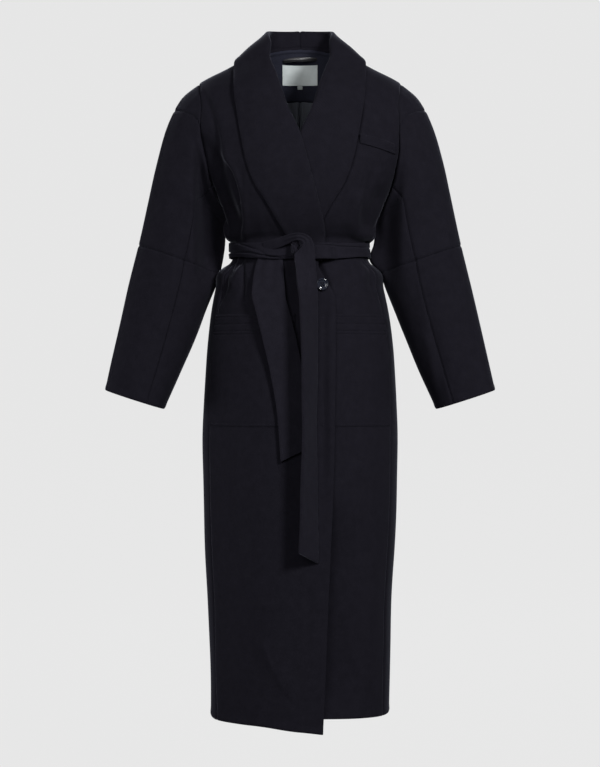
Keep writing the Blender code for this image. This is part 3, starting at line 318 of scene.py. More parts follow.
# Belt
BAND_SIDE_Z, BAND_FRONT_Z = -346, -354
BAND_HALF, BAND_THICK, BAND_LIFT, BAND_LAYERS = 13.6, 6.0, 1.6, 3.2
BAND_STEP_LEFT = (42, 66)
BAND_ROUND, BAND_FLAT, BAND_FACE, TWIST_END = 0.7, 0.5, (0.4, 0.8), (150, 95)
BAND_UNEVEN, BAND_TURNS, EDGE_UNEVEN, EDGE_TURNS = 0.5, 7, 0.8, 5
BAND_WEAVE = 6.1             # degrees of the band's section to a millimetre of cloth
# Lines on the band, the twist's two and a crease: places from right to left, how far up each lies,
# its groove's depth and width, and the step down beside it
Line = namedtuple("Line", "places levels depth width step reach")
TWIST_LAYER = Line((-123, -79, -50, -30), (-0.3, -0.34, -0.72, -0.95), 4.6, 0.1, 2.6, (0, -0.7))
TWIST_ACROSS = Line((-110, -104, -64, -50), (1.3, 1.0, -0.1, -0.75), 3.2, 0.08, 1.3, (-0.05, 0.1))
BAND_CREASE = Line((15, 125), (0.86, 0.25), 2.6, 0.075, 0.9, (-0.02, 0.06))
KNOT_MIDDLE, KNOT_HALF, KNOT_ROUND = (-8, -133, -349), (8, 9, 14), 0.7
KNOT_FRONT, KNOT_WEAVE = (0.1, -0.4), 0.3
Groove = namedtuple("Groove", "depth along_x along_z start width")
KNOT_GROOVES = table(
    Groove,
    (0.16, 0.55, 1, -0.1, 0.12), (0.12, -0.8, 1, 0.55, 0.1), (0.1, 1, 0.3, 0.55, 0.1),
)
# Belt ends: middle, half width, turn about the vertical, lean of the width out of the level,
# and how far the cut end slopes. The long end starts on the band, goes over the knot and hangs
Strip = namedtuple("Strip", "x y z half turn lean slant")
LONG_END = table(
    Strip,
    (-66, -110, -346, 9, -14, 94, 0), (-46, -119, -342, 9, -8, 98, 0), (-30, -127, -337, 8.5, 0, 101, 0),
    (-16, -138, -332.5, 7.5, 0, 97, 0), (-4, -149, -330.5, 7, 0, 80, 0), (6.5, -154, -333, 7.5, 0, 55, 0),
    (13.5, -156, -341, 9.5, 4, 28, 0), (12.5, -157, -352, 14, 8, 8, 0), (8.5, -158, -365, 19, 11, 0, 0),
    (11, -161, -384, 20, 24, 0, 0), (13, -166, -408, 23, 38, 0, 0), (17, -173, -440, 27, 55, 0, 0),
    (19, -181, -520, 29, 64, 0, 0), (19, -186, -620, 29, 65, 0, 0), (19, -188, -730, 29, 64, 0, 0),
    (18, -188, -820, 29, 61, 0, 0), (17, -187, -898, 29, 56, 0, -11),
)
SHORT_END = table(
    Strip,
    (-50, -106.5, -348, 19, -14, 0, 0), (-53, -109, -366, 23, -12, 0, 0), (-55, -118, -384, 26, -10, 0, 0),
    (-56, -130, -404, 28, -9, 0, 0), (-56, -141, -430, 30, -8, 0, 0), (-48, -151, -465, 30, -6, 0, 0),
    (-37, -158, -510, 30, -4, 0, 0), (-24, -163, -570, 29, -2, 0, 0), (-12, -167, -640, 29, 0, 0, 0),
    (-5, -169, -715, 29, 0, 0, 14),
)
# The ends are gathered where they are pulled together, sway as they hang and have pressed edges
GATHER_HEIGHT, GATHER_TURNS, GATHER_START, GATHER_REACH, GATHER_TOP = 0.7, 7.5, 0.6, 90, (-90, -20)
Sway = namedtuple("Sway", "height length across")
SWAYS = table(Sway, (0.8, 46, 1.3), (0.5, 23, -1))
BELT_PRESS, BELT_SOFT, BELT_EDGE = 0.7, 0.07, 1.5

# Mesh steps, and how the cloth dips into a seam or rounds over a turned edge
EDGE_STEPS, EDGE_SHARP = (0.7, 1.6, 2.8, 4.4, 6.4), 60
BODY_STEPS = ((-1205, -480, 5.0), (-480, -270, 2.6), (-270, -60, 4.0))
FRONT_ACROSS, BACK_HALF_ACROSS, FRONT_STEP, BACK_STEP, NECK_STEP = 290, 265, 3.7, 5.2, 2.2
ROOF_UP, ROOF_STEP = 120, 4.0
ROOF_END = 1 - SEAM_GAP / 2 / ROOF_UP
SHOULDER_SOFT, SHOULDER_PASSES, SHOULDER_HELD = 26, 30, 0.1
SLEEVE_STEP, SLEEVE_TOP, SLEEVE_UNDER, SLEEVE_CAP = 4.2, 300, 190, 230
UPPER_LONG, LOWER_LONG, CAP_LONG = 265, 280, 70
CAP_PART = 0.76              # of each half of the top piece lies over the cap
COLLAR_STEP, COLLAR_FALL, COLLAR_PASSES, LAPEL_LONG, LAPEL_STEP = 3.8, 110, 12, 380, 3.2
BELT_ACROSS, BELT_COLUMNS = 58, 26
SEAM_DIP, SEAM_SOFT = 1.3, 2.6
# The line that a lapel's edge presses into the front: depth, place beside the edge, ends
LAPEL_PRESS = {RIGHT: 3.0, LEFT: 5.0}
LINE_ROWS, LINE_SLOPE, LINE_OUT, LINE_WIDTH = LAPELS[3:], 0.88, 1.5, 2.6
LINE_TOP, LINE_FOOT = (-75, -105), (-372, -360)
# How far a seam's under piece is carried on below the other, and how far down it steps
NO_LAP, SEAM_LAP, HOLE_LAP, CAP_LAP = (0.4, 0.2), (5.0, 2.9), (3.0, 3.4), (8.5, 3.4)
HOLE_LAP_Z, SIDE_LAP_Z = (UNDERARM + 4, UNDERARM + 26), (UNDERARM - 2, UNDERARM - 20)
NECK_LAP_X, LAP_START = (NECK_X - 4, NECK_X + 8), 0.15
UNDERARM_HELD, ARMHOLE_HELD = (UNDERARM - 40, UNDERARM), (-6, 16)
TURN_SWELL, TURN_WIDTH, TURN_PRESS, TURN_THIN = 0.7, 5.0, 0.6, 1.6
# How much lighter than the coat's wool these are: painted light, the same wool made lighter because the belt
# catches more light and the facing lies in shade inside the neck
BELT_PAINTED_LIGHT, FACING_PAINTED_LIGHT = (1.2, 1.2, 1.2), (2.2, 2.45, 2.6)

# Studio: brightness of the paper, to the camera and to the coat, and the paper's sweep in metres
PAPER, PAPER_GLOW, PAPER_COLOUR = 0.79, 0.03, (0.008, 0.008, 0.008, 1)
SWEEP_RUN, SWEEP_BEND, SWEEP_WALL, SWEEP_WIDE, SWEEP_FRONT = 12.0, 2.5, 6.0, 24, -8
AIM, SIDE_AIM, SIDE_SPREAD = (0, 0, -0.55), (0, 0, -0.8), 70


def ease(low, high, value):
    t = np.clip((value - low) / (high - low), 0, 1)
    return t * t * (3 - 2 * t)


def mix(a, b, t):
    return a + (b - a) * t


def bell(value, width):
    return np.exp(-((value / width) ** 2))


def quarter(step):
    """The rise of a quarter round, from 0 to 1."""
    return np.sin(np.radians(90 * step))


def unit(vectors):
    return vectors / np.maximum(np.linalg.norm(vectors, axis=-1, keepdims=True), 1e-9)


def spot(x, y, z):
    return np.stack(np.broadcast_arrays(x, y, z), -1).astype(float)


def distances(points):
    """How far along a line each of its points lies."""
    return np.concatenate([[0], np.cumsum(np.linalg.norm(np.diff(points, axis=0), axis=1))])


def at_length(points, keys, wanted):
    return np.stack([np.interp(wanted, keys, points[:, k]) for k in range(3)], -1)


def smooth(keys, values):
    """A curve through the values that never swings past them, for whole arrays of keys."""
    keys, values = np.asarray(keys, float), np.asarray(values, float)
    steps = np.diff(keys).reshape((-1,) + (1,) * (values.ndim - 1))
    rises = np.diff(values, axis=0) / steps
    slopes = np.zeros_like(values)
    slopes[0], slopes[-1] = rises[0], rises[-1]
    before, after = rises[:-1], rises[1:]
    weight_a, weight_b = 2 * steps[1:] + steps[:-1], steps[1:] + 2 * steps[:-1]
    with np.errstate(divide="ignore", invalid="ignore"):
        mean = (weight_a + weight_b) / (weight_a / before + weight_b / after)
    slopes[1:-1] = np.where(before * after > 0, mean, 0)

    def at(key, column=None):
        key = np.asarray(key, float)
        i = np.clip(np.searchsorted(keys, key) - 1, 0, len(keys) - 2)
        low, high = (i, i + 1) if column is None else ((i, column), (i + 1, column))
        shape = key.shape + (1,) * (values[low].ndim - key.ndim)
        step = (keys[i + 1] - keys[i]).reshape(shape)
        t = np.clip((key - keys[i]).reshape(shape) / step, 0, 1)
        a, b = t * t * (3 - 2 * t), t * (1 - t) * step
        return values[low] * (1 - a) + values[high] * a + b * ((1 - t) * slopes[low] - t * slopes[high])

    return at


ring_table = smooth([ring.z for ring in BODY_RINGS], [ring[1:] for ring in BODY_RINGS])
edge_at = smooth([row.z for row in FRONT_EDGE], [row.past for row in FRONT_EDGE])


def ring_at(z):
    return np.moveaxis(ring_table(z), -1, 0)


def power(value, exponent):
    return np.sign(value) * np.abs(value) ** exponent


def ring_points(side, angle, z, out=0.0):
    """Points of the body section at z; the angle runs from the front centre, 90 at the side."""
    half_width, front, back, square, dent = ring_at(z)
    across = power(np.sin(np.radians(angle)), 2 / square)
    along = power(np.cos(np.radians(angle)), 2 / square)
    depth = np.where(along > 0, front, back)
    x, y = half_width * across, -depth * along
    pressed = dent * np.exp(-(((y - DENT_MIDDLE) / DENT_WIDTH) ** 2))
    normal = unit(spot(power(across, square - 1) / half_width, -power(along, square - 1) / depth, 0))
    x = x - np.sign(x) * pressed * np.minimum(1, np.abs(across) * DENT_EDGE)
    return spot(side * (x + out * normal[..., 0]), y + out * normal[..., 1], z)


def angle_for_x(x, z):
    half_width, _, _, square, _ = ring_at(z)
    part = np.minimum(np.abs(x) / half_width, 1)
    return np.sign(x) * np.degrees(np.arcsin(part ** (square / 2)))


def seam_angle(z, is_front):
    """Angle of the panel's side edge: the side seam, and the armhole above the underarm."""
    z = np.asarray(z, float)
    _, front, back, square, _ = ring_at(z)
    seam = 90 - SEAM_FORWARD * (1 - ease(SEAM_LOW, SEAM_HIGH, z))
    depth = np.sqrt(np.maximum(0, 1 - ((z - HOLE_MIDDLE) / HOLE_HALF) ** 2))
    reach = ARMHOLE_FRONT / front if is_front else ARMHOLE_BACK / back
    hole = np.degrees(np.arccos(np.minimum(depth * reach, 1) ** (square / 2)))
    return np.where(z < UNDERARM, seam if is_front else 180 - seam, hole)


def seam_turn(z):
    return np.degrees(SEAM_GAP / 2 / ring_at(z)[0])


def fold_height(folds, x, z):
    total = np.zeros(np.broadcast(x, z).shape)
    for fold in folds:
        run_x, run_z = fold.end_x - fold.start_x, fold.end_z - fold.start_z
        length = math.hypot(run_x, run_z)
        part = ((x - fold.start_x) * run_x + (z - fold.start_z) * run_z) / length ** 2
        away = (run_x * (z - fold.start_z) - run_z * (x - fold.start_x)) / length
        away = away - fold.bow * 4 * part * (1 - part)
        fade = ease(*FADE_IN, part) * (1 - ease(*FADE_OUT, part))
        total = total + fold.height * fade * np.exp(-((away / fold.width) ** 2))
    return total


def drape_height(x, z):
    return sum(w.height * np.sin(2 * math.pi * (x / w.across + z / w.up) + w.start) for w in DRAPE)


def front_out(side, x, z):
    """How far the front panel stands off the body section: its lap and its folds."""
    if side == LEFT:
        return fold_height(FOLDS["front_left"], x, z)
    lap = mix(LAP_SKIRT, LAP_CHEST, ease(LAP_LOW, LAP_HIGH, z)) * (1 - ease(LAP_FULL, LAP_NONE, x))
    return lap + fold_height(FOLDS["front_right"], x, z)


def front_ring(side, x, z, lift=0.0):
    return ring_points(side, angle_for_x(x, z), z, front_out(side, x, z) + lift)


def seam_top_z(x):
    return NECK_Z + (TIP_Z - NECK_Z) * (x - NECK_X) / (TIP_X - NECK_X)


def front_roof(side, x, step):
    """The front over the shoulder: from the top section to the shoulder seam."""
    low = front_ring(side, x, np.full_like(x, CHEST_TOP))
    rise = quarter(step)
    return spot(mix(low[..., 0], side * x, step), mix(low[..., 1], SEAM_Y, step),
                mix(low[..., 2], seam_top_z(x), rise))


def back_top(x):
    part = np.maximum(1 - (x / NECK_X) ** 2, 0)
    beyond = np.abs(x) >= NECK_X
    y = SEAM_Y + (BACK_NECK_Y - SEAM_Y) * np.sqrt(part)
    z = np.where(beyond, seam_top_z(np.abs(x)), NECK_Z + (BACK_NECK_Z - NECK_Z) * part)
    return y, z, np.where(beyond, 1.0, ease(*NECK_ROUND, np.abs(x)))


def seam_hold(u, z):
    """Folds die out towards the side seam, but not towards the armhole."""
    return 1 - (1 - ease(0, SEAM_HELD, 1 - np.abs(u))) * (1 - ease(*UNDERARM_HELD, z))


def to_hem(points, z, level):
    """Brings the rows near the hem to its own uneven level."""
    points[..., 2] += (level - HEM_ROW) * (1 - ease(HEM_ROW, HEM_BLEND, z))
    return points


def front_rows(side, u, z):
    """A front's outer face below the top section: u from the front edge to the side."""
    angle = mix(angle_for_x(-edge_at(z), z), seam_angle(z, True) - seam_turn(z), u)
    x = ring_points(LEFT, angle, z)[..., 0]
    points = ring_points(side, angle, z, front_out(side, x, z) * seam_hold(u, z))
    return to_hem(points, z, smooth((0, 0.5, 1), HEM_FRONTS[side])(u))


def back_rows(u, z):
    """The back's outer face below the top section: u from -1 to 1 between the side edges."""
    angle = 180 - (seam_angle(z, False) - seam_turn(z)) * np.abs(u)
    x = ring_points(LEFT, angle, z)[..., 0] * np.sign(u)
    points = ring_points(LEFT, angle, z, fold_height(FOLDS["back"], x, z) * seam_hold(u, z))
    points[..., 0] *= np.sign(u)
    return to_hem(points, z, smooth((-1, 0, 1), HEM_BACK)(u))


def spaced(length, step, low=True, high=True):
    """Places from 0 to 1 along a length, closer together at each end that is asked for."""
    inner = np.linspace(0, length, max(3, round(length / step)) + 1)
    near = np.array(EDGE_STEPS)
    first = near if low else near[:0]
    last = length - near[::-1] if high else near[:0]
    keep = inner[(inner > (near[-1] if low else 0) + 1) & (inner < length - (near[-1] if high else 0) - 1)]
    return np.concatenate([[0], first, keep, last, [length]]) / length


def body_levels():
    near = HEM_ROW + np.array(EDGE_STEPS)
    runs = [np.arange(low, high, step) for low, high, step in BODY_STEPS]
    levels = np.concatenate(runs + [[CHEST_TOP]])
    return np.concatenate([[HEM_ROW], near, levels[levels > near[-1] + 1]])


def between(grid):
    """Each inner row averaged with the rows beside it."""
    return (grid[:-2] + 2 * grid[1:-1] + grid[2:]) / 4


def relaxed(grid, u):
    """The grid with its bend over the shoulder rounded off, but not beside the armhole."""
    held = 1 - ease(0, SHOULDER_HELD, 1 - np.abs(u))
    share = bell(grid[1:-1, :, 2:] - CHEST_TOP, SHOULDER_SOFT) * (1 - held[..., None])
    for _ in range(SHOULDER_PASSES):
        grid[1:-1] = mix(grid[1:-1], between(grid), share)
    return grid


def roof_steps():
    return spaced(ROOF_UP, ROOF_STEP, low=False)[1:, None]


def front_grid(side):
    u = spaced(FRONT_ACROSS, FRONT_STEP)[None, :]
    ring_part = front_rows(side, u, body_levels()[:, None])
    over = roof_steps()
    x = mix(side * ring_part[-1:, :, 0], mix(NECK_X, TIP_X, u), over)
    return relaxed(np.concatenate([ring_part, front_roof(side, x, over * ROOF_END)]), u)


def back_grid(step):
    half = spaced(BACK_HALF_ACROSS, step, low=False)
    u = np.concatenate([-half[:0:-1], [1e-6], half[1:]])[None, :]
    ring_part = back_rows(u, body_levels()[:, None])
    over = roof_steps()
    low = np.abs(ring_part[-1:])
    x = mix(low[..., 0], TIP_X * np.abs(u), over)
    y, z, flat = back_top(x)
    over = over * ROOF_END
    rise = mix(over, quarter(over), flat)
    roof = spot(np.sign(u) * x, mix(low[..., 1], y, over), mix(ring_part[-1:, :, 2], z, rise))
    return relaxed(np.concatenate([ring_part, roof]), u)


def normals(grid):
    """Unit normal at each point, along the row direction crossed with the column direction."""
    along, up = np.gradient(grid, axis=1), np.gradient(grid, axis=0)
    return unit(np.cross(along, up))


def runs(grid, axis):
    """Distance along the rows or columns from each end."""
    steps = np.linalg.norm(np.diff(grid, axis=axis), axis=-1)
    start = np.zeros_like(np.take(steps, [0], axis))
    before = np.cumsum(np.concatenate([start, steps], axis), axis)
    return before, np.take(before, [-1], axis) - before


def seam_dip(distance):
    return -SEAM_DIP * bell(distance, SEAM_SOFT)


def turned_edge(distance):
    """A turned edge: pressed thin at the very edge, a little full behind it."""
    return TURN_SWELL * bell(distance - TURN_WIDTH, TURN_WIDTH) - TURN_PRESS * bell(distance, TURN_THIN)


def lifted(grid, height):
    return grid + normals(grid) * np.asarray(height)[..., None]


def blend(lap, other, t):
    return [mix(a, b, t) for a, b in zip(lap, other)]


def lapped(grid, edge, lap=SEAM_LAP):
    """The grid with one edge stepped down and carried on under the next piece, as a seam is sewn."""
    across, turned = edge in ("start", "end"), edge in ("high", "end")
    reach, drop = (np.reshape(part, (-1, 1)) for part in lap)
    face, out = grid, normals(grid)
    if across:
        face, out = face.transpose(1, 0, 2), out.transpose(1, 0, 2)
    if turned:
        face, out = face[::-1], out[::-1]
    away = unit(face[0] - face[1])
    low = face[0] - out[0] * drop
    face = np.concatenate([[low + away * reach], [low + away * LAP_START], face])
    if turned:
        face = face[::-1]
    return face.transpose(1, 0, 2) if across else face


def armhole_curve(side, is_front):
    """The body's armhole edge from the shoulder tip to the underarm, as a curve on 0 to 1."""
    def edge(z):
        angle = seam_angle(z, is_front)
        if is_front:
            return ring_points(side, angle, z, front_out(side, ring_points(LEFT, angle, z)[..., 0], z))
        x = ring_points(LEFT, 180 - angle, z)[..., 0]
        return ring_points(side, 180 - angle, z, fold_height(FOLDS["back"], side * x, z))

    step = np.linspace(1, HOLE_TOP_END, HOLE_TOP_STEPS)
    low = edge(np.array([CHEST_TOP]))[0]
    x = mix(side * low[0], TIP_X, step)
    if is_front:
        top = front_roof(side, x, step)
    else:
        y, z, _ = back_top(x)
        top = spot(side * x, mix(low[1], y, step), mix(low[2], z, quarter(step)))
    turn = np.linspace(math.acos((CHEST_TOP - HOLE_MIDDLE) / HOLE_HALF), math.pi, HOLE_SIDE_STEPS)
    points = np.concatenate([top, edge(HOLE_MIDDLE + HOLE_HALF * np.cos(turn))])
    keys = distances(points)
    return lambda part: at_length(points, keys / keys[-1], part)


class Sleeve:
    """The sleeve's outer face: angle 0 on top, 90 in front, 180 beside the body; t down its length."""

    def __init__(self, side):
        self.side = side
        self.front, self.back = armhole_curve(side, True), armhole_curve(side, False)
        self.part_at = smooth(ARMHOLE_TURN, ARMHOLE_PART)
        top = self.stations(np.zeros(1))[:, 0]
        self.length = np.linalg.norm(np.diff(top, axis=0), axis=1).sum()
        self.keys = distances(top) / self.length
        self.elbow = self.keys[len(SHOULDER_STEPS) + 1 + ELBOW_SECTION]

    def section(self, shape, angle):
        top = power(np.cos(np.radians(angle)), 2 / shape.square)
        front = power(np.sin(np.radians(angle)), 2 / shape.square)
        x = mix(shape.inner_x, shape.outer_x, (1 + top) / 2)
        z = mix(shape.inner_z, shape.outer_z, (1 + top) / 2)
        return spot(self.side * x, shape.middle_y - shape.half_depth * front, z)

    def stations(self, angle):
        """Points down the sleeve at each angle: armhole, shoulder rows, then the sections."""
        is_front = angle <= 180
        part = self.part_at(np.where(is_front, angle, 360 - angle))
        start = np.where(is_front[:, None], self.front(part), self.back(part))
        first = self.section(SLEEVE_SECTIONS[0], angle)
        start = start + unit(first - start) * ARMHOLE_GAP
        down_x = SLEEVE_SECTIONS[0].outer_x - TIP_X
        down_z = SLEEVE_SECTIONS[0].outer_z - TIP_Z
        outward = unit(np.array((-down_z * self.side, 0, down_x)))
        swell = SHOULDER_ROUND * np.maximum(0, np.cos(np.radians(angle)))[:, None]
        rows = [mix(start, first, step) + outward * swell * math.sin(math.pi * step ** SHOULDER_POWER)
                for step in SHOULDER_STEPS]
        return np.array([start] + rows + [self.section(s, angle) for s in SLEEVE_SECTIONS])

    def clear_of_body(self, points, t):
        """Moves points outwards where they would lie inside the body's side."""
        x, y, z = np.moveaxis(points, -1, 0)
        half_width, front, back, square, dent = ring_at(z)
        part = np.abs(y) / np.where(y < 0, front, back)
        across = np.maximum(0, 1 - part ** square) ** (1 / square)
        pressed = dent * np.exp(-(((y - DENT_MIDDLE) / DENT_WIDTH) ** 2))
        pressed = pressed * np.minimum(1, across * DENT_EDGE)
        clear = (SLEEVE_CLEAR + DENT_CLEAR * pressed) * ease(*CLEAR_FROM, t)
        surface = half_width * across - pressed
        facing = across ** (square - 1) / half_width
        slope = facing / np.hypot(facing, part ** (square - 1) / np.where(y < 0, front, back))
        fold = np.where(y < 0, fold_height(FOLDS["front_" + SIDES[self.side]], surface, z),
                        fold_height(FOLDS["back"], self.side * surface, z))
        least = surface + fold / np.maximum(slope, LEAST_SLOPE) + clear
        held = (part < 1) & (z < CHEST_TOP) & (self.side * x < least)
        moved = mix(x, self.side * least, ease(*MOVED_FROM, t))
        return spot(np.where(held, moved, x), y, z)

    def points(self, angle, t):
        angle = np.mod(angle, 360)
        at = smooth(self.keys, self.stations(angle))
        t = np.broadcast_to(t, angle.shape)
        return self.clear_of_body(at(t, np.arange(len(angle))), t)

    def cap(self, angle):
        """How far down the cap seam lies at this angle."""
        away = np.abs(np.mod(angle + 180, 360) - 180)
        drop = np.maximum(0, np.cos(np.radians(90 * np.minimum(away / CAP_HALF, 1)))) ** CAP_POWER
        return np.where(away > CAP_HALF + 0.01, 0, (CAP_HEIGHT * drop + CAP_END) / self.length)

    def grid(self, angles, rows, start, end):
        """Rows run up the sleeve; angles is a function of the row, start and end are places on t."""
        found = np.array([self.points(angles(row), mix(start, end, row)) for row in rows[::-1]])
        return found[:, ::-1] if self.side == LEFT else found


def sleeve_seams(row, lower):
    first, last = (1, 2) if lower else (0, 1)
    return mix(FRONT_SEAM[first], FRONT_SEAM[last], row), mix(BACK_SEAM[first], BACK_SEAM[last], row)


def sleeve_grids(side):
    shape = Sleeve(side)
    gap = SEAM_GAP / 2 / shape.length
    part = spaced(SLEEVE_TOP, SLEEVE_STEP) * 2 - 1

    def top_angles(row, lower):
        front, back = sleeve_seams(row, lower)
        beyond = np.clip((np.abs(part) - CAP_PART) / (1 - CAP_PART), 0, 1)
        end = np.where(part > 0, front - LONG_SEAM_TURN, 360 - back - LONG_SEAM_TURN)
        size = np.where(beyond > 0, mix(CAP_HALF, end, beyond), CAP_HALF * np.abs(part) / CAP_PART)
        return np.sign(part) * size

    def under_angles(row, lower):
        front, back = sleeve_seams(row, lower)
        return mix(front + LONG_SEAM_TURN, back - LONG_SEAM_TURN, spaced(SLEEVE_UNDER, SLEEVE_STEP))

    cap_angles = CAP_HALF * (spaced(SLEEVE_CAP, SLEEVE_STEP) * 2 - 1)
    first = shape.cap(top_angles(0, False))
    start = first + np.where(first > 0, gap, 0)
    upper, lower, short = (spaced(long, SLEEVE_STEP) for long in (UPPER_LONG, LOWER_LONG, CAP_LONG))
    return {
        "cap": shape.grid(lambda row: cap_angles, short, 0.0, shape.cap(cap_angles) - gap),
        "upper_top": shape.grid(lambda row: top_angles(row, False), upper, start, shape.elbow - gap),
        "upper_under": shape.grid(lambda row: under_angles(row, False), upper, 0.0, shape.elbow - gap),
        "lower_top": shape.grid(lambda row: top_angles(row, True), lower, shape.elbow + gap, 1.0),
        "lower_under": shape.grid(lambda row: under_angles(row, True), lower, shape.elbow + gap, 1.0),
    }


def front_over(side, x, height, lift):
    """Points over a front on its own side, the normals there and the way to the opening."""
    def at(x, height):
        low = front_ring(side, x, np.minimum(height, CHEST_TOP))
        high = front_roof(side, x, np.maximum(height - CHEST_TOP, 0) / OVER_PARTS)
        found = np.where((height <= CHEST_TOP)[..., None], low, high)
        found[..., 0] *= side
        return found

    here, aside, above = at(x, height), at(x + ASIDE, height), at(x, height + ABOVE)
    normal = unit(np.cross(aside - here, above - here))
    return here + normal * np.asarray(lift)[..., None], normal, unit(here - aside)


def shoulder_turn(height):
    return bell(height - CHEST_TOP, SHOULDER_REACH)


def stand_track(stand, bend, fall):
    """A collar section behind the neck: bend runs over the stand and the fold, fall to the edge."""
    inner, fold, edge = (np.array(p, float) for p in stand)
    up = unit(fold - (inner + edge) / 2)
    across = unit((edge - inner) - np.dot(edge - inner, up) * up)
    middle = fold - up * ROLL_RADIUS
    turn = np.radians(np.maximum(bend - 1, 0) * ROLL_TURN)[:, None]
    arc = middle + ROLL_RADIUS * (up * np.sin(turn) - across * np.cos(turn))
    rise = np.minimum(bend, 1)[:, None]
    outward = unit(np.cross(np.cross(edge - fold, (0, 0, 1)), edge - fold))
    down = fall[:, None]
    hang = mix(arc[-1], edge, down) + outward * FALL_ROUND * np.sin(math.pi * down)
    return np.concatenate([mix(inner, arc, rise), hang])


def lapel_track(side, lapel, bend, fall):
    """A collar section on the front: round the front's edge, then over the front."""
    if lapel.fold <= CHEST_TOP:
        start_x = float(-edge_at(lapel.fold))
    else:
        start_x = mix(float(-edge_at(CHEST_TOP)), NECK_X, (lapel.fold - CHEST_TOP) / OVER_PARTS)
    place, normal, opening = front_over(side, np.array([start_x]), np.array([lapel.fold]), 0.0)
    loose = 1 + ROLL_LOOSE * shoulder_turn(lapel.fold)
    middle = place[0] - normal[0] * CLOTH / 2 + opening[0] * ROLL_OUT * loose
    turn = np.radians(np.interp(bend, range(len(ROLL_TURNS)), ROLL_TURNS))[:, None]
    arc = middle + ROLL_RADIUS * loose * (opening[0] * np.sin(turn) - normal[0] * np.cos(turn))
    x, height = mix(start_x, lapel.edge_x, fall), mix(lapel.fold, lapel.edge, fall)
    lift = ROLL_GAP + SHOULDER_LIFT * shoulder_turn(height)
    return np.concatenate([arc, front_over(side, x, height, lift)[0]])


def collar_grid(side):
    """Rows from the centre back to the end of the lapel: a loft round the neck, then the lapel."""
    bend = np.concatenate([np.linspace(0, 1, STAND_STEPS)[:-1],
                           np.linspace(1, len(ROLL_TURNS) - 1, ROLL_STEPS)])
    fall = spaced(COLLAR_FALL, COLLAR_STEP, low=False)[1:]
    keys = np.array([lapel.fold for lapel in LAPELS], float)
    line_at = smooth(-keys, LAPELS)
    stations = [stand_track(stand, bend, fall) for stand in COLLAR_STANDS]
    stations = np.array(stations + [lapel_track(side, LAPELS[0], bend, fall)])
    lengths = distances(stations[:, np.abs(bend - ROLL_MIDDLE).argmin()])
    neck = smooth(lengths, stations)(lengths[-1] * spaced(lengths[-1], COLLAR_STEP, high=False)[:-1])
    neck[0, :, 0] = COLLAR_SEAM / 2
    levels = mix(keys[0], keys[-1], spaced(LAPEL_LONG, LAPEL_STEP, low=False))
    lapels = [lapel_track(side, Lapel(*line_at(-z)), bend, fall) for z in levels]
    grid = np.concatenate([neck, np.array(lapels)])[:, ::-1]
    for _ in range(COLLAR_PASSES):
        grid[1:-1] = between(grid)
    if side == RIGHT:
        grid = grid[:, ::-1] * (-1, 1, 1)
    return grid


def back_surface(x, z, inwards):
    """Points inside the back near the neck, at this height and this far in from its outer face."""
    x, z = np.broadcast_arrays(x, z)
    level = np.full_like(x, CHEST_TOP)
    low = ring_points(LEFT, 180 - angle_for_x(x, level), level)
    y, top, _ = back_top(x)
    step = (z - CHEST_TOP) / (top - CHEST_TOP)
    lean = (low[..., 1] - y) / (top - CHEST_TOP)
    return spot(x, mix(low[..., 1], y, step) - inwards * np.sqrt(1 + lean * lean), z)


def ribbon(stations, count):
    """A belt end's face, its places across and its length, rows from its tip up to the knot."""
    places = np.array(stations, float)
    keys = distances(places[:, :3])
    down = np.linspace(1, 0, count + 1)[:, None]
    x, y, z, half, turn, lean, slant = np.moveaxis(smooth(keys / keys[-1], places)(down), -1, 0)
    part = (spaced(BELT_ACROSS, BELT_ACROSS / BELT_COLUMNS) * 2 - 1)[None, :]
    across = part * half
    level, turn, lean = across * np.cos(np.radians(turn)), np.radians(turn), np.radians(lean)
    return spot(x + level * np.cos(lean), y + across * np.sin(turn),
                z + level * np.sin(lean) + part * slant), part, down * keys[-1]


def belt_lift(x):
    """How far the belt stands off the body section, over the layers that cross there."""
    over_left = 1 - ease(*BAND_STEP_LEFT, x)
    over_right = 1 - ease(LAP_FULL, LAP_NONE, -x)
    full = LAP_CHEST + COLLAR_CLOTH + BAND_LAYERS * ROLL_GAP
    return mix(BAND_LIFT, full, np.minimum(over_left, over_right))


def deselect():
    if bpy.context.object and bpy.context.object.mode != "OBJECT":
        bpy.ops.object.mode_set(mode="OBJECT")
    bpy.ops.object.select_all(action="DESELECT")


def start_shape(name, add, **values):
    """A piece begun from one of Blender's own shapes, at the origin."""
    deselect()
    add(location=(0, 0, 0), **values)
    made = bpy.context.object
    made.name = made.data.name = name
    return made


def places_of(mesh):
    places = np.empty(len(mesh.vertices) * 3, np.float32)
    mesh.vertices.foreach_get("co", places)
    return places.reshape(-1, 3)


def set_places(mesh, places):
    mesh.vertices.foreach_set("co", (np.asarray(places) * MM).astype(np.float32).ravel())
    mesh.update()


def set_weave(mesh, weave):
    """The cloth's own measure in metres, across and along the grain, as the UV map."""
    loops = np.empty(len(mesh.loops), np.int32)
    mesh.loops.foreach_get("vertex_index", loops)
    layer = mesh.uv_layers.active or mesh.uv_layers.new(name="UVMap")
    layer.uv.foreach_set("vector", (weave[loops] * MM).astype(np.float32).ravel())


def apply_all(made):
    deselect()
    made.select_set(True)
    bpy.context.view_layer.objects.active = made
    for modifier in list(made.modifiers):
        bpy.ops.object.modifier_apply(modifier=modifier.name)
    bpy.ops.object.shade_smooth()


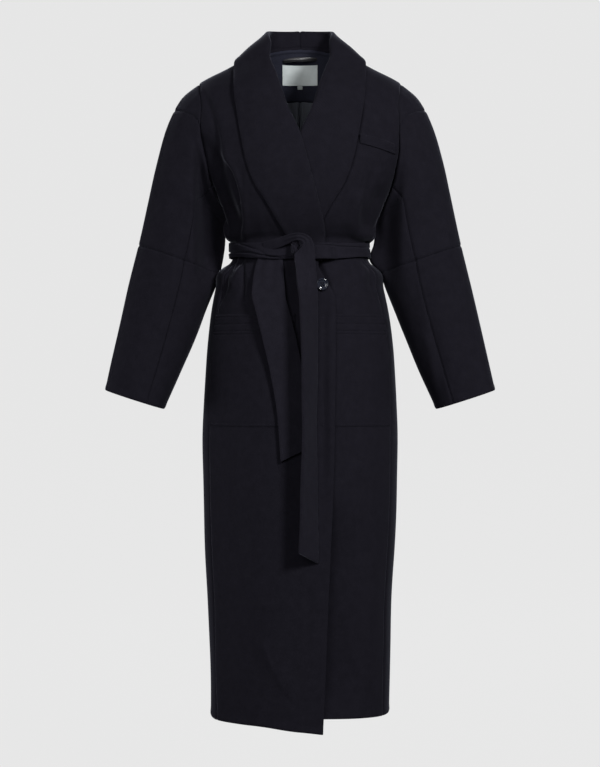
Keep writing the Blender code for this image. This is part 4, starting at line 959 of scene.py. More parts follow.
def cloth_sheet(name, grid, wall, outward=False, edge=0.8):
    """A cloth wall on a grid of places: rows run up, columns to the right when seen from outside."""
    rows, columns = grid.shape[:2]
    made = start_shape(name, bpy.ops.mesh.primitive_grid_add, x_subdivisions=columns - 1,
                       y_subdivisions=rows - 1, size=1)
    flat = places_of(made.data)
    column = np.rint((flat[:, 0] + 0.5) * (columns - 1)).astype(int)
    row = np.rint((flat[:, 1] + 0.5) * (rows - 1)).astype(int)
    set_places(made.data, grid[row, column])
    across, up = runs(grid, 1)[0], runs(grid, 0)[0]
    across = across - across[:, [columns // 2]]
    set_weave(made.data, np.stack([across, np.broadcast_to(up, across.shape)], -1)[row, column])
    solid = made.modifiers.new("Wall", "SOLIDIFY")
    solid.thickness, solid.offset = wall * MM, 1 if outward else -1
    round_edge = made.modifiers.new("Edge", "BEVEL")
    round_edge.width, round_edge.segments = edge * MM, 2
    round_edge.limit_method, round_edge.angle_limit = "ANGLE", math.radians(EDGE_SHARP)
    apply_all(made)
    return made


# How each cloth piece is held, and what it hangs from or lies on
Held = namedtuple("Held", "way on")


def flat_cut(grid):
    """Width, length and area of the cloth on a grid, in metres, measured along its own face."""
    a, b, c, d = grid[:-1, :-1], grid[:-1, 1:], grid[1:, 1:], grid[1:, :-1]
    halves = np.cross(b - a, c - a), np.cross(c - a, d - a)
    area = sum(np.linalg.norm(half, axis=-1).sum() for half in halves) / 2 * MM * MM
    width, length = (runs(grid, axis)[0].max() * MM for axis in (1, 0))
    return width, length, min(area, width * length)


def dress(made, node, slot, grid=None, finish=None):
    """Puts a finished piece on the coat in place of its solid, with its finish, and works out the size of its
    cut.
    """
    made.data.materials.clear()
    made.data.materials.append(bpy.data.materials[(finish or slot) + "_finish"])
    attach(made, "root")
    if node:
        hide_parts(node)
    if grid is not None:
        width, length, area = flat_cut(grid)
    return made


def sew(node, grid, wall, slot="wool", under=None, finish=None, extras=(), **shape):
    """Makes a cloth piece on its face, or on that face with its laps, and puts it on the coat."""
    made = cloth_sheet(node + "_cloth", grid if under is None else under, wall, **shape)
    return dress(made, node, slot, grid, finish)


def set_values(node, values):
    """Each value is a setting of the node, or another node's output to be joined to that input."""
    for key, value in values.items():
        if isinstance(value, bpy.types.NodeSocket):
            node.id_data.links.new(value, node.inputs[key])
        elif key in node.inputs:
            node.inputs[key].default_value = value
        else:
            setattr(node, key, value)


def add_node(tree, kind, **values):
    node = tree.nodes.new("ShaderNode" + kind)
    set_values(node, values)
    return node


def new_material(name):
    """An empty finish: the material, its nodes, its shader and the places on the piece."""
    made = bpy.data.materials.new(name + "_finish")
    made.use_nodes = True
    tree = made.node_tree
    return made, tree, tree.nodes["Principled BSDF"], add_node(tree, "TexCoord").outputs


def texture(tree, kind, place, **values):
    return add_node(tree, "Tex" + kind, Vector=place, **values).outputs["Fac"]


def two_tone(tree, part, colour, dark, light):
    """Two tones of a colour, mixed by a texture."""
    a, b = ((*[tone * c for c in colour], 1) for tone in (dark, light))
    return add_node(tree, "Mix", data_type="RGBA", A=a, B=b, Factor=part).outputs["Result"]


def raised(tree, height, strength, depth, **under):
    return add_node(tree, "Bump", Strength=strength, Distance=depth, Height=height, **under).outputs["Normal"]


class CoatFinish(bpy.types.PropertyGroup):
    """Colours and cloth sizes"""
    wool: FloatVectorProperty(name="Wool", description="Colour of the coat cloth", subtype="COLOR",
                              size=3, min=0, max=1, default=(0.0088, 0.0083, 0.0118))
    lining: FloatVectorProperty(name="Lining", description="Colour of the lining", subtype="COLOR",
                                size=3, min=0, max=1, default=(0.072, 0.078, 0.094))
    loop: FloatVectorProperty(name="Loop", description="Colour of the hanger loop", subtype="COLOR",
                              size=3, min=0, max=1, default=(0.022, 0.022, 0.024))
    label: FloatVectorProperty(name="Label", description="Colour of the neck label", subtype="COLOR",
                               size=3, min=0, max=1, default=(0.41, 0.445, 0.445))
    button: FloatVectorProperty(name="Button", description="Colour of the button", subtype="COLOR",
                                size=3, min=0, max=1, default=(0.008, 0.009, 0.014))
    fibre: FloatProperty(name="Fibre", description="Size of the wool's raised fibres", unit="LENGTH",
                         default=0.0011, min=0.0002)
    stitch: FloatProperty(name="Stitch", description="Length of one stitch", unit="LENGTH",
                          default=0.0034, min=0.001)


class CoatStage(bpy.types.PropertyGroup):
    """Camera and lights"""
    distance: FloatProperty(name="Camera distance", description="From the coat's middle to the camera",
                            unit="LENGTH", default=3.5)
    height: FloatProperty(name="Camera height", description="Level of the camera in the coat's frame",
                          unit="LENGTH", default=-0.591)
    lens: FloatProperty(name="Lens", description="Focal length in millimetres", default=88.8)
    floor: FloatProperty(name="Floor", description="Level of the floor under the hem", unit="LENGTH",
                         default=-1.48)
    key: FloatProperty(name="Key", description="Power of the key light in watts", default=185)
    fill: FloatProperty(name="Fill", description="Power of the front fill light in watts", default=122)
    side: FloatProperty(name="Side", description="Power of the light at the left side", default=12)
    back: FloatProperty(name="Back", description="Power of the light behind the coat", default=300)
    air: FloatProperty(name="Air", description="Strength of the even light from all round", default=0.14)


def wool_material(name, colour, fibre):
    """A felted twill: mottled colour, fine diagonal ribs under a nap that runs along the grain."""
    _, tree, shader, place = new_material(name)
    grain = add_node(tree, "Mapping", Vector=place["UV"], Scale=(1.0, 0.45, 1.0)).outputs["Vector"]
    mottle = texture(tree, "Noise", place["UV"], Scale=0.35 / fibre, Detail=4.0, Roughness=0.65)
    cloud = texture(tree, "Noise", place["Object"], Scale=70.0, Detail=6.0, Roughness=0.7)
    hair = texture(tree, "Noise", grain, Scale=1 / fibre, Detail=3.0, Roughness=0.6)
    twill = texture(tree, "Wave", place["UV"], Scale=0.16 / fibre, Distortion=1.2, Detail=1.0,
                    bands_direction="DIAGONAL")
    shade = add_node(tree, "Mix", data_type="RGBA", blend_type="MULTIPLY", Factor=0.5,
                     A=two_tone(tree, mottle, colour, dark=0.72, light=1.3), B=cloud)
    ribs = raised(tree, twill, strength=0.25, depth=0.0002)
    set_values(shader, {
        "Base Color": shade.outputs["Result"],
        "Normal": raised(tree, hair, strength=0.45, depth=0.0004, Normal=ribs),
        "Roughness": 0.92, "Specular IOR Level": 0.0, "Sheen Weight": 0.08, "Sheen Roughness": 0.32,
        "Sheen Tint": (0.75, 0.78, 0.95, 1)})


def satin_material(name, colour, roughness, thread):
    """A smooth woven finish: fine ribs across the weave and a soft shine."""
    _, tree, shader, place = new_material(name)
    ribs = texture(tree, "Wave", place["UV"], Scale=0.16 / thread, Distortion=0.6, Detail=1.0)
    streak = texture(tree, "Noise", place["Object"], Scale=60.0, Detail=3.0)
    set_values(shader, {
        "Base Color": two_tone(tree, streak, colour, dark=0.8, light=1.2),
        "Normal": raised(tree, ribs, strength=0.3, depth=0.00015), "Roughness": roughness})


def button_material(colour):
    """Polished horn, faintly marbled."""
    _, tree, shader, place = new_material("button")
    marble = texture(tree, "Noise", place["Object"], Scale=260.0, Detail=5.0, Distortion=1.6)
    set_values(shader, {
        "Base Color": two_tone(tree, marble, colour, dark=0.6, light=1.8), "Roughness": 0.07,
        "Specular IOR Level": 0.4})


class COAT_OT_finishes(bpy.types.Operator):
    """Makes the finishes of the coat's cloth, lining, label, loop and button"""
    bl_idname = "coat.finishes"
    bl_label = "Finishes"

    def execute(self, context):
        look = context.scene.coat_finish
        # The belt and facing finishes are the coat's wool painted lighter: painted light for the belt's
        # brighter lighting and against the shade inside the neck
        for name, painted_light_gains in (("wool", (1, 1, 1)), ("belt", BELT_PAINTED_LIGHT), ("facing", FACING_PAINTED_LIGHT)):
            wool_material(name, [c * t for c, t in zip(look.wool, painted_light_gains)], look.fibre)
        satin_material("lining", look.lining, roughness=0.38, thread=0.0004)
        satin_material("loop", look.loop, roughness=0.26, thread=0.0005)
        satin_material("label", look.label, roughness=0.8, thread=0.0007)
        button_material(look.button)
        return {"FINISHED"}


def lapel_line(side, x, z):
    """The line that a lapel's edge presses into the front."""
    edge = smooth([-row.edge for row in LINE_ROWS], [row.edge_x for row in LINE_ROWS])(-z)
    beside = bell((x - edge) * LINE_SLOPE - LINE_OUT, LINE_WIDTH)
    return LAPEL_PRESS[side] * beside * ease(*LINE_TOP, z) * ease(*LINE_FOOT, z)


def brink(x, z, end):
    """The right front's soft ridge and its fall towards the underarm."""
    past = x - smooth(BRINK_Z, BRINK_X)(z)
    fall = ease(0, BRINK_WIDTH, past) * (1 - BRINK_RETURN * ease(*BRINK_BACK, past))
    deep = ease(*BRINK_TOP, z) * ease(*BRINK_FOOT, z) * (1 - bell(end, BRINK_HELD))
    return (BRINK_RIDGE * bell(past + RIDGE_BEFORE, RIDGE_WIDTH) - BRINK_DEPTH * fall) * deep


def panel_relief(grid, creases, side, turned_start):
    """Creases, slow drape, seams and turned edges of a body panel, in millimetres."""
    x, z = grid[..., 0] * side, grid[..., 2]
    start, end = runs(grid, 1)
    hem, top = runs(grid, 0)
    beside = end if turned_start else np.minimum(start, end)
    held = mix(1, ease(*ARMHOLE_HELD, beside), ease(*UNDERARM_HELD, z))
    height = held * fold_height(CREASES[creases], x, z) + drape_height(x, z)
    height += (turned_edge(start) if turned_start else seam_dip(start)) + seam_dip(end)
    for level, reach, full in BLOUSE:
        height += full * bell(z - level, reach) * ease(*BLOUSE_SIDE, np.abs(x))
    if creases != "back":
        height -= lapel_line(side, x, z)
    if creases == "front_right":
        height += brink(x, z, end)
    return height + turned_edge(hem) + seam_dip(top)


def front_face(side, name):
    grid = front_grid(side)
    relief = panel_relief(grid, name, side, True)
    return lifted(grid[:, ::side], relief[:, ::side])


def back_face(step):
    grid = back_grid(step)
    relief = panel_relief(grid, "back", 1, False)
    return lifted(grid[:, ::-1], relief[:, ::-1])


class COAT_OT_panels(bpy.types.Operator):
    """Models the two fronts and the back"""
    bl_idname = "coat.panels"
    bl_label = "Fronts and back"

    def execute(self, context):
        for side, name in sided("front"):
            grid = front_face(side, name)
            edge, column = ("start", 0) if side == RIGHT else ("end", -1)
            lap = blend(NO_LAP, HOLE_LAP, ease(*HOLE_LAP_Z, grid[:, column, 2]))
            sew(name, grid, CLOTH, under=lapped(grid, edge, lap))
        grid = under = back_face(BACK_STEP)
        for edge, column in (("start", 0), ("end", -1)):
            z = under[:, column, 2]
            hole = blend(NO_LAP, HOLE_LAP, ease(*HOLE_LAP_Z, z))
            under = lapped(under, edge, blend(hole, SEAM_LAP, ease(*SIDE_LAP_Z, z)))
        sewn = ease(*NECK_LAP_X, np.abs(under[-1, :, 0]))
        sew("back", grid, CLOTH, under=lapped(under, "high", blend(NO_LAP, SEAM_LAP, sewn)))
        return {"FINISHED"}


# Edges of each sleeve piece that are sewn under the next piece
SLEEVE_LAPS = {"cap": ("low", "high"), "upper_top": ("low", "high"), "lower_top": (),
               "upper_under": ("start", "end", "low", "high"), "lower_under": ("start", "end")}


def sleeve_middle(z):
    return np.interp(-z, [-s.outer_z for s in SLEEVE_SECTIONS], [s.middle_y for s in SLEEVE_SECTIONS])


def sleeve_hollow(grid, side, piece):
    """How far the front of the sleeve's inner side hangs back, away from its armhole seam."""
    x, y, z = grid[..., 0] * side, grid[..., 1], grid[..., 2]
    edge, depth, far = HOLLOWS[side]
    inner = ease(edge, edge - HOLLOW_WIDTH, x) * ease(*HOLLOW_TOP, z) * ease(*HOLLOW_FOOT, z)
    sewn = ease(*HOLLOW_SEWN, runs(grid, 0)[1]) if piece.startswith("upper") else 1
    return depth * sewn * inner * ease(far, HOLLOW_FRONT, sleeve_middle(z) - y)


def sleeve_relief(piece, grid, side, name):
    x, y, z = grid[..., 0] * side, grid[..., 1], grid[..., 2]
    to_front = ease(*SLEEVE_FRONT, sleeve_middle(z) - y)
    height = to_front * fold_height(CREASES[name + "_front"], x, z)
    height += (1 - to_front) * fold_height(CREASES[name + "_back"], x, z)
    start, end = runs(grid, 1)
    low, high = runs(grid, 0)
    height += SLEEVE_DRAPE * drape_height(x + DRAPE_SHIFT * side, z)
    if piece.startswith("upper"):
        height *= ease(*SLEEVE_SEWN, high)
    height += seam_dip(start) + seam_dip(end) + seam_dip(high)
    height += turned_edge(low) if piece.startswith("lower") else seam_dip(low)
    if piece == "lower_top":
        for edge in (start, end):
            height -= SLEEVE_ROW_PULL * bell(edge - SLEEVE_ROW, SLEEVE_ROW_WIDTH)
    return height


class COAT_OT_sleeves(bpy.types.Operator):
    """Models both sleeves: cap, upper and lower parts, each in a top and an under piece"""
    bl_idname = "coat.sleeves"
    bl_label = "Sleeves"

    def execute(self, context):
        for side, name in sided("sleeve"):
            for piece, grid in sleeve_grids(side).items():
                grid = lifted(grid, sleeve_relief(piece, grid, side, name))
                grid[..., 1] += sleeve_hollow(grid, side, piece)
                if side == LEFT:
                    lean = bell(grid[..., 2] - LEAN_Z, LEAN_REACH)
                    grid[..., 0] -= LEAN_DEPTH * lean * ease(*LEAN_SIDE, grid[..., 0])
                under = grid
                for edge in SLEEVE_LAPS[piece]:
                    under = lapped(under, edge, CAP_LAP if edge == "high" else SEAM_LAP)
                sew(f"{name}_{piece}", grid, CLOTH, under=under)
        return {"FINISHED"}


class COAT_OT_collar(bpy.types.Operator):
    """Models the two halves of the shawl collar with their lapels"""
    bl_idname = "coat.collar"
    bl_label = "Shawl collar"

    def execute(self, context):
        for side, name in sided("collar"):
            grid = collar_grid(side)
            outer, inner = runs(grid, 1)[::side]
            centre = runs(grid, 0)[0]
            relief = turned_edge(outer) + COLLAR_DRAPE * drape_height(grid[..., 0], grid[..., 2])
            full = CENTRE_SWELL * bell(centre - CENTRE_SIDE, CENTRE_WIDTH)
            relief += full - CENTRE_DIP * bell(centre, CENTRE_SOFT)
            relief -= NECK_DIP * bell(inner - NECK_SEAM, NECK_SOFT) * ease(*NECK_END, centre)
            sew(name, lifted(grid, relief), COLLAR_CLOTH, outward=True)
        return {"FINISHED"}


def stitch_rows(name, rows, length):
    """Rows of small stitches: each row is its points in millimetres with the cloth's normals."""
    bead = start_shape(name, bpy.ops.mesh.primitive_ico_sphere_add, subdivisions=1, radius=1)
    ball = np.array([v.co[:] for v in bead.data.vertices])
    sides = np.array([p.vertices[:] for p in bead.data.polygons])
    bpy.data.meshes.remove(bead.data)
    places, faces = [], []
    for points, out in rows:
        gone = distances(points)
        count = max(1, int(gone[-1] / length))
        middles = (np.arange(count) + 0.5) * gone[-1] / count
        ends = [at_length(points, gone, middles + d * length * STITCH_PART) for d in (-1, 1)]
        for low, high, normal in zip(*ends, unit(at_length(out, gone, middles))):
            along = (high - low) / 2
            wide = unit(np.cross(along, normal)) * STITCH_WIDTH
            middle = (low + high) / 2 + normal * STITCH_RISE
            faces.append(sides + len(ball) * len(places))
            places.append(middle + ball @ np.array([along, wide, normal * STITCH_WIDTH * STITCH_FLAT]))
    places = np.concatenate(places)
    mesh = bpy.data.meshes.new(name)
    mesh.from_pydata((places * MM).tolist(), [], np.concatenate(faces).tolist())
    made = bpy.data.objects.new(name, mesh)
    bpy.context.collection.objects.link(made)
    set_weave(mesh, places[:, [0, 2]])
    apply_all(made)
    return made


def pocket_face(side):
    """A pocket's outer face on its front: hem band, stitched rows and edges pressed down."""
    split = POCKET_TOP - POCKET_BAND - POCKET_BELOW
    low = mix(POCKET_BOTTOM, split, spaced(POCKET_UP, POCKET_RISE, high=False))[:-1]
    z = np.concatenate([low, np.linspace(split, POCKET_TOP, BAND_ROWS)])[:, None]
    grid = front_rows(side, mix(POCKET_START, 1, spaced(POCKET_ACROSS, POCKET_STEP))[None, :], z)
    x, level = grid[..., 0] * side, grid[..., 2]
    relief = fold_height(CREASES["front_" + SIDES[side]], x, level) + drape_height(x, level)
    grid, relief = grid[:, ::side], relief[:, ::side]
    start, end = runs(grid, 1)
    bottom, top = runs(grid, 0)
    relief += turned_edge(top) + turned_edge(start) + turned_edge(end)
    beside = np.minimum(start, end)
    relief -= POCKET_PRESS * (bell(bottom, POCKET_SOFT) + bell(beside, POCKET_SOFT))
    relief += POCKET_FULL * ease(*POCKET_EDGE, top)
    relief -= POCKET_LINE * bell(top - POCKET_BAND, PULL_WIDTH)
    for drop in POCKET_ROWS:
        relief -= STITCH_PULL * bell(top - drop, PULL_WIDTH)
    relief -= STITCH_PULL * bell(bottom - POCKET_HEM_ROW, PULL_WIDTH)
    return lifted(grid, relief + (LIE_GAP + POCKET_CLOTH))


class COAT_OT_pockets(bpy.types.Operator):
    """Models the patch pockets and the chest welt"""
    bl_idname = "coat.pockets"
    bl_label = "Pockets and welt"

    def execute(self, context):
        stitch = context.scene.coat_finish.stitch / MM
        for side, name in sided("pocket"):
            face = pocket_face(side)
            pocket = cloth_sheet(name + "_cloth", face, POCKET_CLOTH)
            drops = runs(face, 0)[1][:, face.shape[1] // 2]
            levels = POCKET_ROWS + (drops[0] - POCKET_HEM_ROW,)
            out, places = normals(face), [np.abs(drops - drop).argmin() for drop in levels]
            stitches = stitch_rows(name + "_stitches", [(face[k], out[k]) for k in places], stitch)
            dress(stitches, None, "wool")
            dress(pocket, name, "wool", face)
        across, up = spaced(WELT_ACROSS, WELT_STEP)[None, :], spaced(WELT_UP, WELT_RISE)[:, None]
        x = mix(*WELT_X, across)
        z = mix(mix(*WELT_BOTTOM, across), mix(*WELT_TOP, across), up)
        relief = fold_height(CREASES["front_left"], x, z) + drape_height(x, z)
        grid = front_ring(LEFT, x + 0 * z, z, WELT_GAP + POCKET_CLOTH + relief)
        start, end = runs(grid, 1)
        pull = STITCH_PULL * bell(np.minimum(start, end) - WELT_ROW, WELT_PULL)
        grid = lifted(grid, turned_edge(runs(grid, 0)[1]) - pull)
        out, places = normals(grid), [np.abs(gone[0] - WELT_ROW).argmin() for gone in (start, end)]
        lines = [(grid[:, k], out[:, k]) for k in places]
        lines += [(grid[:TACK_ROWS, k], out[:TACK_ROWS, k]) for k in TACK_COLUMNS]
        stitches = dress(stitch_rows("chest_welt_stitches", lines, stitch), None, "wool")
        sew("chest_welt", grid, POCKET_CLOTH, extras=[stitches])
        return {"FINISHED"}


class COAT_OT_neck(bpy.types.Operator):
    """Models what shows inside the neck: facing, pleated lining, label, size tab and loop"""
    bl_idname = "coat.neck"
    bl_label = "Inside the neck"

    def execute(self, context):
        grid = back_face(NECK_STEP)
        middle = grid.shape[1] // 2
        reach = np.searchsorted(np.linspace(0, 1, middle), NECK_HALF)
        grid = grid[:, middle - reach:middle + reach + 1]
        low, foot = np.searchsorted(grid[:, reach, 2], (FACING_BOTTOM, LINING_BOTTOM))
        facing = lifted(grid[low:], -(CLOTH + LIE_GAP))
        facing = np.concatenate([facing, facing[-1:] + (0, -0.2, FACING_RISE)])
        # The facing's finish is the coat's wool painted lighter and bluer, painted light against the shade
        # inside the neck
        sew("back_neck_facing", facing, FACING_CLOTH, finish="facing")
        lining = lifted(grid[foot:low + 1], -(CLOTH + 2 * LIE_GAP))
        lining[-1, :, 2] -= LINING_DROP
        beside = lining[..., 0]
        lining[..., 1] -= PLEAT_DEPTH * (bell(beside, PLEAT_WIDTH) - bell(beside, PLEAT_LINE))
        sew("back_lining", lining, LINING_CLOTH, "lining")

        inside = CLOTH + LIE_GAP + FACING_CLOTH + LABEL_LIFT
        x = (LABEL_X * (spaced(LABEL_ACROSS, LABEL_STEP) * 2 - 1))[None, :]
        z = mix(LABEL_BOTTOM, LABEL_TOP, spaced(LABEL_UP, LABEL_STEP))[:, None]
        curl = LABEL_CURL * np.cos(x / LABEL_X * LABEL_WAVE) * ease(LABEL_TOP, LABEL_BOTTOM, z)
        sew("neck_label", back_surface(x, z, inside + curl), LABEL_CLOTH, "label", edge=LABEL_EDGE)
        x = (TAB_X * (spaced(TAB_ACROSS, TAB_STEP) * 2 - 1))[None, :]
        z = mix(TAB_TOP - TAB_DROP, TAB_TOP, spaced(TAB_UP, TAB_RISE))[:, None]
        sew("size_tab", back_surface(x, z, inside), LABEL_CLOTH, "label", edge=LABEL_EDGE)
        part = (spaced(LOOP_ACROSS, LOOP_STEP) * 2 - 1)[None, :]
        up = (np.linspace(0, 1, LOOP_ROWS) * 2 - 1)[:, None]
        z = LOOP_Z + LOOP_HALF * up * (1 - LOOP_NARROW * part ** 2)
        z = z + LOOP_LEAN * part * np.abs(part) - LOOP_SAG * part ** 2
        stand = LOOP_OUT * np.maximum(1 - part * part, 0) ** LOOP_POWER
        stand = stand + LOOP_FULL * (1 - up * up) - LOOP_TWIST * np.sin(3 * part + 2 * up)
        loop = back_surface(LOOP_X * part, z, inside + stand)
        sew("hanger_loop", loop, LOOP_CLOTH, "loop", edge=LOOP_EDGE)
        return {"FINISHED"}


def band_line(line, x, up):
    away = up - np.interp(x, line.places, line.levels)
    return line.depth * bell(away, line.width) + line.step * ease(*line.reach, away)


def belt_band(around=256, section=84):
    """The band round the waist, its left stretch twisted in two layers and the right one creased."""
    made = start_shape("belt_band_cloth", bpy.ops.mesh.primitive_torus_add, major_segments=around,
                       minor_segments=section)
    angle = np.linspace(0, 360, around, endpoint=False)[:, None]
    turn = np.linspace(0, 2 * math.pi, section, endpoint=False)[None, :]
    up, out = power(np.sin(turn), BAND_ROUND), 0.5 + 0.5 * power(np.cos(turn), BAND_FLAT)
    side = np.where(angle <= 180, LEFT, RIGHT)
    own = np.where(angle <= 180, angle, 360 - angle)
    flat = ring_points(side, own, np.full_like(own, BAND_SIDE_Z))
    x = flat[..., 0]
    level = mix(BAND_SIDE_Z, BAND_FRONT_Z, np.maximum(0, np.cos(np.radians(angle))) ** 2)
    lift = np.where(np.abs(angle - 180) > 90, belt_lift(x), BAND_LIFT)
    layer, across, folded = (band_line(line, x, up) for line in (TWIST_LAYER, TWIST_ACROSS, BAND_CREASE))
    depth = mix(folded, layer + across, np.where(side == RIGHT, ease(*TWIST_END, own), 0))
    thick = BAND_THICK * out - depth * ease(*BAND_FACE, out)
    thick = thick + BAND_UNEVEN * np.sin(np.radians(own * BAND_TURNS) + 2 * up) * out
    z = level + up * (BAND_HALF + EDGE_UNEVEN * np.sin(np.radians(own * EDGE_TURNS)))
    set_places(made.data, ring_points(side, own, z, lift + np.maximum(thick, 0)).reshape(-1, 3))
    weave = np.broadcast_arrays(np.degrees(turn) / BAND_WEAVE, distances(flat[:, 0])[:, None])
    set_weave(made.data, np.stack(weave, -1).reshape(-1, 2))
    apply_all(made)
    return made


def belt_knot(around=72, rings=48):
    """The knot: a rounded block with the grooves of the cloth that is wound round it."""
    made = start_shape("belt_knot_cloth", bpy.ops.mesh.primitive_uv_sphere_add, segments=around,
                       ring_count=rings, radius=1)
    ball = places_of(made.data).astype(float)
    block = ball / np.max(np.abs(ball), axis=1, keepdims=True)
    shape = mix(block, ball, KNOT_ROUND)
    x, y, z = shape.T
    groove = sum(g.depth * bell(g.along_x * x + g.along_z * z + g.start, g.width) for g in KNOT_GROOVES)
    shape = shape * (1 - groove * ease(*KNOT_FRONT, y))[:, None]
    set_places(made.data, np.array(KNOT_MIDDLE) + shape * KNOT_HALF)
    set_weave(made.data, np.stack([np.degrees(np.arctan2(x, -y)) * KNOT_WEAVE, z * KNOT_HALF[2]], -1))
    apply_all(made)
    return made


class COAT_OT_belt(bpy.types.Operator):
    """Models the tied belt: waist band, knot and both ends"""
    bl_idname = "coat.belt"
    bl_label = "Belt"

    def execute(self, context):
        # The belt's finish is the coat's wool painted lighter, painted light for the light the belt catches
        band = dress(belt_band(), "belt_band", "wool", finish="belt")
        knot = dress(belt_knot(), "belt_knot", "wool", finish="belt")
        for name, stations, count, pulled, extras in (("belt_end_long", LONG_END, 220, 118, [knot]),
                                                      ("belt_end_short", SHORT_END, 130, 22, [])):
            grid, part, down = ribbon(stations, count)
            near = down - pulled
            gather = np.cos(part * GATHER_TURNS + GATHER_START + near / GATHER_REACH)
            gather = gather * ease(GATHER_REACH, 0, near) * ease(*GATHER_TOP, near) * GATHER_HEIGHT
            sway = sum(s.height * np.sin(down / s.length + part * s.across) for s in SWAYS)
            face = lifted(grid, gather + sway - BELT_PRESS * bell(1 - np.abs(part), BELT_SOFT))
            sew(name, face, BELT_CLOTH, finish="belt", extras=extras, edge=BELT_EDGE)
        return {"FINISHED"}


def button_turn():
    """The button's place on the over front, its axis pointing away from the cloth."""
    x, z = np.array([BUTTON_X]), np.array([BUTTON_Z])
    low, high = (front_ring(RIGHT, x, z, BUTTON_LIFT + out)[0] for out in (0, 1))
    turn = Vector(high - low).to_track_quat("Z", "Y").to_matrix().to_4x4()
    turn.translation = Vector(low * MM)
    return turn


def turned_button():
    """The button's rim and face, spun from its profile."""
    made = start_shape("button_turned", bpy.ops.mesh.primitive_grid_add, size=1,
                       x_subdivisions=len(BUTTON_PROFILE) - 1, y_subdivisions=1)
    line = [(r * MM, 0, h * MM) for r, h in BUTTON_PROFILE]
    made.data.clear_geometry()
    made.data.from_pydata(line, [(k, k + 1) for k in range(len(line) - 1)], [])
    bpy.ops.object.mode_set(mode="EDIT")
    bpy.ops.mesh.select_all(action="SELECT")
    bpy.ops.mesh.spin(steps=BUTTON_STEPS, angle=2 * math.pi, center=(0, 0, 0), axis=(0, 0, 1))
    bpy.ops.mesh.select_all(action="SELECT")
    bpy.ops.mesh.remove_doubles(threshold=0.00001)
    bpy.ops.mesh.normals_make_consistent(inside=False)
    bpy.ops.object.mode_set(mode="OBJECT")
    return made


class COAT_OT_button(bpy.types.Operator):
    """Models the polished button with its rim, four holes and thread"""
    bl_idname = "coat.button"
    bl_label = "Button"

    def execute(self, context):
        turn = button_turn()
        made = turned_button()
        corners = [(BUTTON_HOLE_RING * math.cos(a), BUTTON_HOLE_RING * math.sin(a))
                   for a in np.radians((45, 135, 225, 315))]
        drills = []
        for x, y in corners:
            deselect()
            bpy.ops.mesh.primitive_cylinder_add(vertices=DRILL_SIDES, radius=BUTTON_HOLE * MM,
                                                depth=DRILL_LONG * MM, location=(x * MM, y * MM, 0))
            drills.append(bpy.context.object)
            hole = made.modifiers.new("Hole", "BOOLEAN")
            hole.operation, hole.solver, hole.object = "DIFFERENCE", "EXACT", drills[-1]
        apply_all(made)
        for drill in drills:
            bpy.data.objects.remove(drill)
        bpy.ops.object.shade_smooth_by_angle(angle=math.radians(BUTTON_SHARP))
        made.data.transform(turn)
        set_weave(made.data, np.array([v.co[:] for v in made.data.vertices])[:, [0, 2]] / MM)
        dress(made, "button", "button")
        lines, part = [], np.linspace(0, 1, THREAD_POINTS)[:, None]
        for first, last in ((0, 2), (1, 3)):
            line = mix(np.array(corners[first]), np.array(corners[last]), part)
            line = np.concatenate([line, BUTTON_FACE + THREAD_RISE + 0 * part], 1)
            line = np.array([(turn @ Vector(p * MM))[:] for p in line]) / MM
            lines.append((line, np.tile(np.array(turn.col[2][:3]), (THREAD_POINTS, 1))))
        dress(stitch_rows("button_thread", lines, 2 * BUTTON_HOLE_RING * THREAD_PART), None, "wool")
        return {"FINISHED"}


def add_light(name, place, aim, size, watts):
    deselect()
    bpy.ops.object.light_add(type="AREA", location=place)
    made = bpy.context.object
    made.name = name
    made.data.shape, made.data.size, made.data.energy = "DISK", size, watts
    made.visible_camera = False
    x, y, z = np.array(aim, float) - np.array(place, float)
    made.rotation_euler = (math.atan2(math.hypot(x, y), -z), 0, math.atan2(x, -y) + math.pi)
    return made


def seen_glow(tree, otherwise):
    """The paper's brightness to the camera, and a fainter one to all that the paper lights."""
    seen = add_node(tree, "LightPath").outputs["Is Camera Ray"]
    levels = {"Value": seen, "To Min": otherwise, "To Max": PAPER}
    return add_node(tree, "MapRange", **levels).outputs["Result"]


def paper_sweep(floor):
    """A sheet of paper that runs under the coat and rises behind it in a wide bend."""
    paper, tree, shader, _ = new_material("paper")
    set_values(shader, {
        "Base Color": PAPER_COLOUR, "Roughness": 1.0, "Specular IOR Level": 0.0,
        "Emission Color": (1, 1, 1, 1), "Emission Strength": seen_glow(tree, PAPER_GLOW)})
    made = start_shape("paper_sweep", bpy.ops.mesh.primitive_grid_add, x_subdivisions=2, y_subdivisions=48,
                       size=1)
    flat = places_of(made.data).astype(float)
    corner = SWEEP_BEND * math.pi / 2
    length = (flat[:, 1] + 0.5) * (SWEEP_RUN + corner + SWEEP_WALL)
    turn = np.clip((length - SWEEP_RUN) / SWEEP_BEND, 0, math.pi / 2)
    y = np.minimum(length, SWEEP_RUN) + SWEEP_FRONT + SWEEP_BEND * np.sin(turn)
    z = floor + SWEEP_BEND * (1 - np.cos(turn)) + np.maximum(length - SWEEP_RUN - corner, 0)
    set_places(made.data, np.stack([flat[:, 0] * SWEEP_WIDE, y, z], -1) / MM)
    made.data.materials.append(paper)
    apply_all(made)
    return made


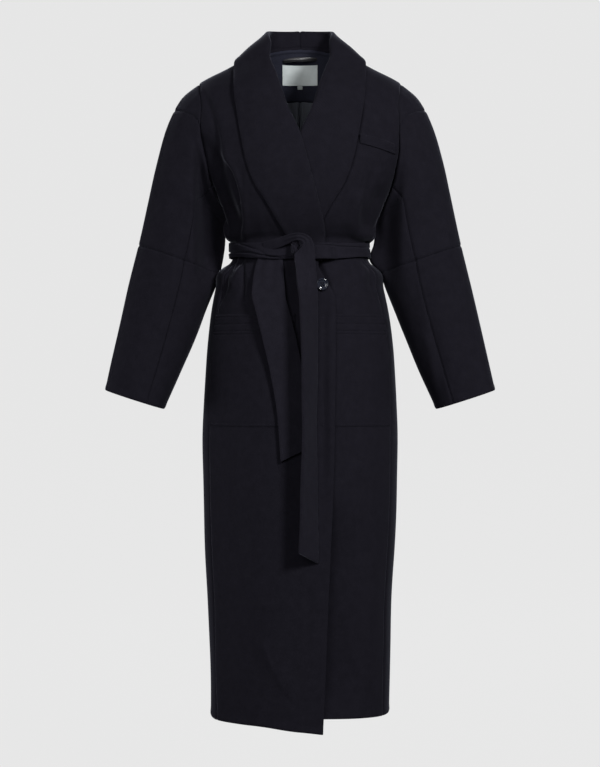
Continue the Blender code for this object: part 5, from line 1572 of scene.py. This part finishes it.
class COAT_OT_stage(bpy.types.Operator):
    """Sets up the pale floor, the soft lights and the camera"""
    bl_idname = "coat.stage"
    bl_label = "Stage"

    def execute(self, context):
        stage, scene = context.scene.coat_stage, context.scene
        paper_sweep(stage.floor)
        add_light("key", (1.75, -3.0, 1.15), AIM, size=0.8, watts=stage.key)
        add_light("fill", (-1.1, -4.3, 0.5), AIM, size=2.2, watts=stage.fill)
        for side, share in ((RIGHT, 1), (LEFT, 0.25)):
            made = add_light("side", (2.7 * side, 0.75, -0.65), SIDE_AIM, size=1.2,
                             watts=stage.side * share)
            made.data.spread = math.radians(SIDE_SPREAD)
        add_light("back", (0.9, 4.0, 1.9), AIM, size=2.2, watts=stage.back)
        scene.world = bpy.data.worlds.new("studio")
        scene.world.use_nodes = True
        tree = scene.world.node_tree
        set_values(tree.nodes["Background"], {"Color": (1, 1, 1, 1), "Strength": seen_glow(tree, stage.air)})
        scene.view_settings.view_transform = "Standard"

        deselect()
        bpy.ops.object.camera_add(location=(0, -stage.distance, stage.height),
                                  rotation=(math.radians(90), 0, 0))
        scene.camera = bpy.context.object
        scene.camera.data.lens, scene.camera.data.sensor_width = stage.lens, 36
        return {"FINISHED"}


class COAT_PT_panel(bpy.types.Panel):
    """Lists the coat's pieces and settings"""
    bl_idname = "COAT_PT_panel"
    bl_label = "Wrap coat"
    bl_space_type = "VIEW_3D"
    bl_region_type = "UI"
    bl_category = "Coat"

    def draw(self, context):
        for group in (context.scene.coat_finish, context.scene.coat_stage):
            for name in group.__annotations__:
                self.layout.prop(group, name)
        for step in STEPS:
            self.layout.operator(step.bl_idname)


STEPS = (COAT_OT_finishes, COAT_OT_panels, COAT_OT_sleeves, COAT_OT_collar, COAT_OT_pockets,
         COAT_OT_neck, COAT_OT_belt, COAT_OT_button, COAT_OT_stage)
CLASSES = (CoatFinish, CoatStage) + STEPS + (COAT_PT_panel,)


def register():
    for cls in CLASSES:
        bpy.utils.register_class(cls)
    bpy.types.Scene.coat_finish = PointerProperty(type=CoatFinish)
    bpy.types.Scene.coat_stage = PointerProperty(type=CoatStage)


def unregister():
    del bpy.types.Scene.coat_finish
    del bpy.types.Scene.coat_stage
    for cls in reversed(CLASSES):
        bpy.utils.unregister_class(cls)


def main():
    register()
    bpy.ops.coat.finishes()
    bpy.ops.coat.panels()
    bpy.ops.coat.sleeves()
    bpy.ops.coat.collar()
    bpy.ops.coat.pockets()
    bpy.ops.coat.neck()
    bpy.ops.coat.belt()
    bpy.ops.coat.button()
    bpy.ops.coat.stage()


if __name__ == "__main__":
    main()
